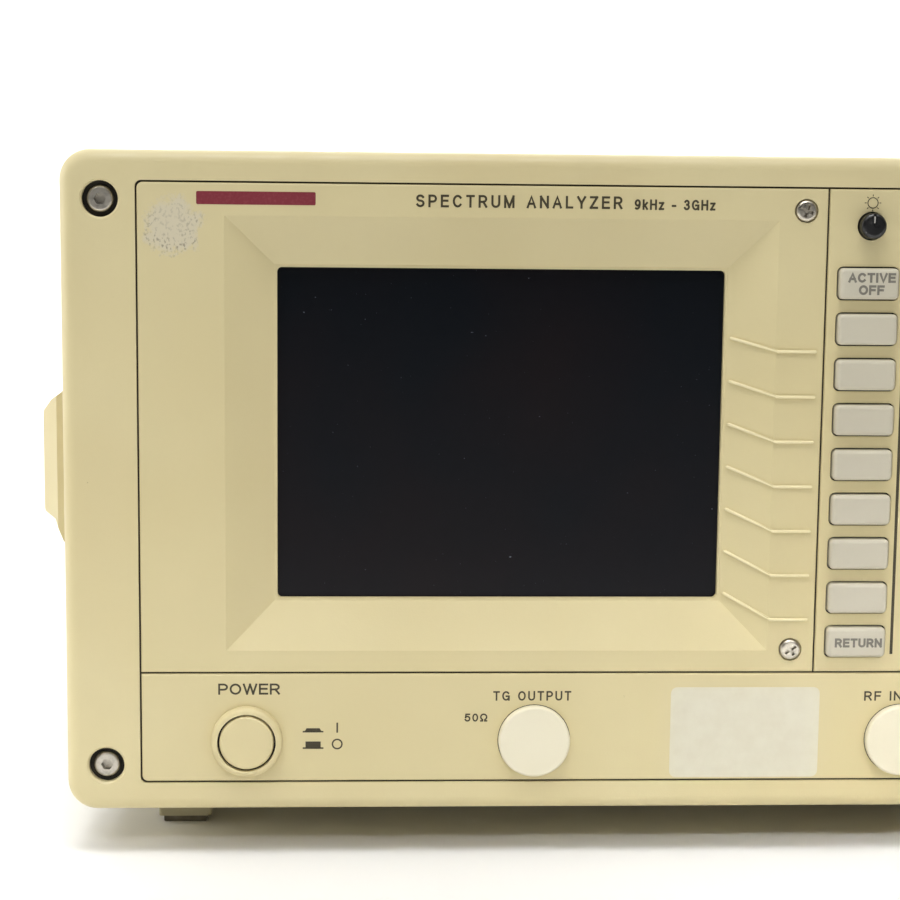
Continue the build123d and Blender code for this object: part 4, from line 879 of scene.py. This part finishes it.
def area_light(name, place, aim, size, power, spread=180):
    """Rectangular lamp; a spread below 180 degrees narrows its beam."""
    data = bpy.data.lights.new(name, "AREA")
    data.spread = math.radians(spread)
    data.shape = "RECTANGLE"
    data.size, data.size_y = size
    data.energy = power
    light = bpy.data.objects.new(name, data)
    light.location = place
    light.rotation_euler = (Vector(aim) - Vector(place)).to_track_quat("-Z", "Y").to_euler()
    bpy.context.scene.collection.objects.link(light)


def lights():
    """Soft light from over the front, fills from the sides and back, and a lamp for the backdrop."""
    middle = (0.0, 0.0, 0.09)
    area_light("overhead_key", (-0.2, -0.75, 1.9), middle, (0.9, 0.6), 22.0)
    area_light("left_key", (-0.8, -0.9, 1.35), middle, (0.5, 0.4), 3.6)
    area_light("right_key", (0.7, -0.8, 1.5), middle, (0.5, 0.4), 2.2)
    area_light("low_beam", (0.6, -1.0, 0.8), (0.2, -0.16, -0.02), (0.3, 0.1), 0.2, 18)
    area_light("wide_beam", (0.1, -1.1, 0.8), (0.1, -0.16, -0.02), (1.0, 0.1), 0.15, 18)
    area_light("top_softbox", (0.0, 0.35, 1.7), (0.0, 0.2, 0.0), (2.4, 1.4), 7.5)
    area_light("floor_strip", (0.0, -0.36, 0.0), (0.0, 0.0, 0.02), (0.8, 0.02), 0.27)
    area_light("left_fill", (-1.6, 0.1, 0.5), middle, (1.0, 1.0), 12.6)
    area_light("right_fill", (1.7, 0.2, 0.8), middle, (1.0, 1.0), 3.5)
    area_light("backdrop_light", (0.0, 1.2, 2.2), (0.0, 2.6, 0.6), (4.0, 0.8), 90.0)
    area_light("back_fill", (0.3, 1.7, 0.9), middle, (1.6, 1.0), 8.0)
    world = bpy.data.worlds.new("studio")
    world.use_nodes = True
    world.node_tree.nodes["Background"].inputs["Color"].default_value = (1.0, 1.0, 1.0, 1.0)
    world.node_tree.nodes["Background"].inputs["Strength"].default_value = 0.06
    bpy.context.scene.world = world


def camera():
    """Close camera left of the middle, a little over the screen, looking slightly down and right."""
    data = bpy.data.cameras.new("camera")
    data.sensor_width = 36.0
    data.lens = 78.0
    data.clip_start = 0.02
    camera_object = bpy.data.objects.new("camera", data)
    place = Vector((LEFT + 77.8 * MM, FRAME_LOW.y - 513.4 * MM, FRAME_LOW.z + 165.4 * MM))
    down, right, roll = math.radians(7.38), math.radians(2.745), math.radians(0.589)
    aim = Matrix.Rotation(-right, 4, "Z") @ Matrix.Rotation(math.pi / 2 - down, 4, "X")
    camera_object.matrix_world = Matrix.Translation(place) @ aim @ Matrix.Rotation(roll, 4, "Z")
    bpy.context.scene.collection.objects.link(camera_object)
    bpy.context.scene.camera = camera_object


camera()
lights()
stage()
dress_frame()
groove_shade_strips()
key_gap_shades()
dark_gaps()
guide_crests()
front_lettering()
ink_bar("maroon_mark", 51.2, 12.3, 31.0, 3.4, MAROON, 0.4)
ink_bar("softkey_rule", 223.2, 81.0, 0.8, 105.4, radius_mm=0.1)
sun_symbol()
push_symbols()
key_words("active_off_key", "ACTIVE", 2.6, 12.7, 1.65)
key_words("active_off_key", "OFF", 2.6, 6.9, -1.6)
key_words("return_key", "RETURN", 2.5, 12.9)
block_lettering()
knob_pointer()
blank_label()
back_lettering()
jack_screws()
rear_prints()
strap_ribs()
bpy.context.scene.view_settings.view_transform = "Standard"
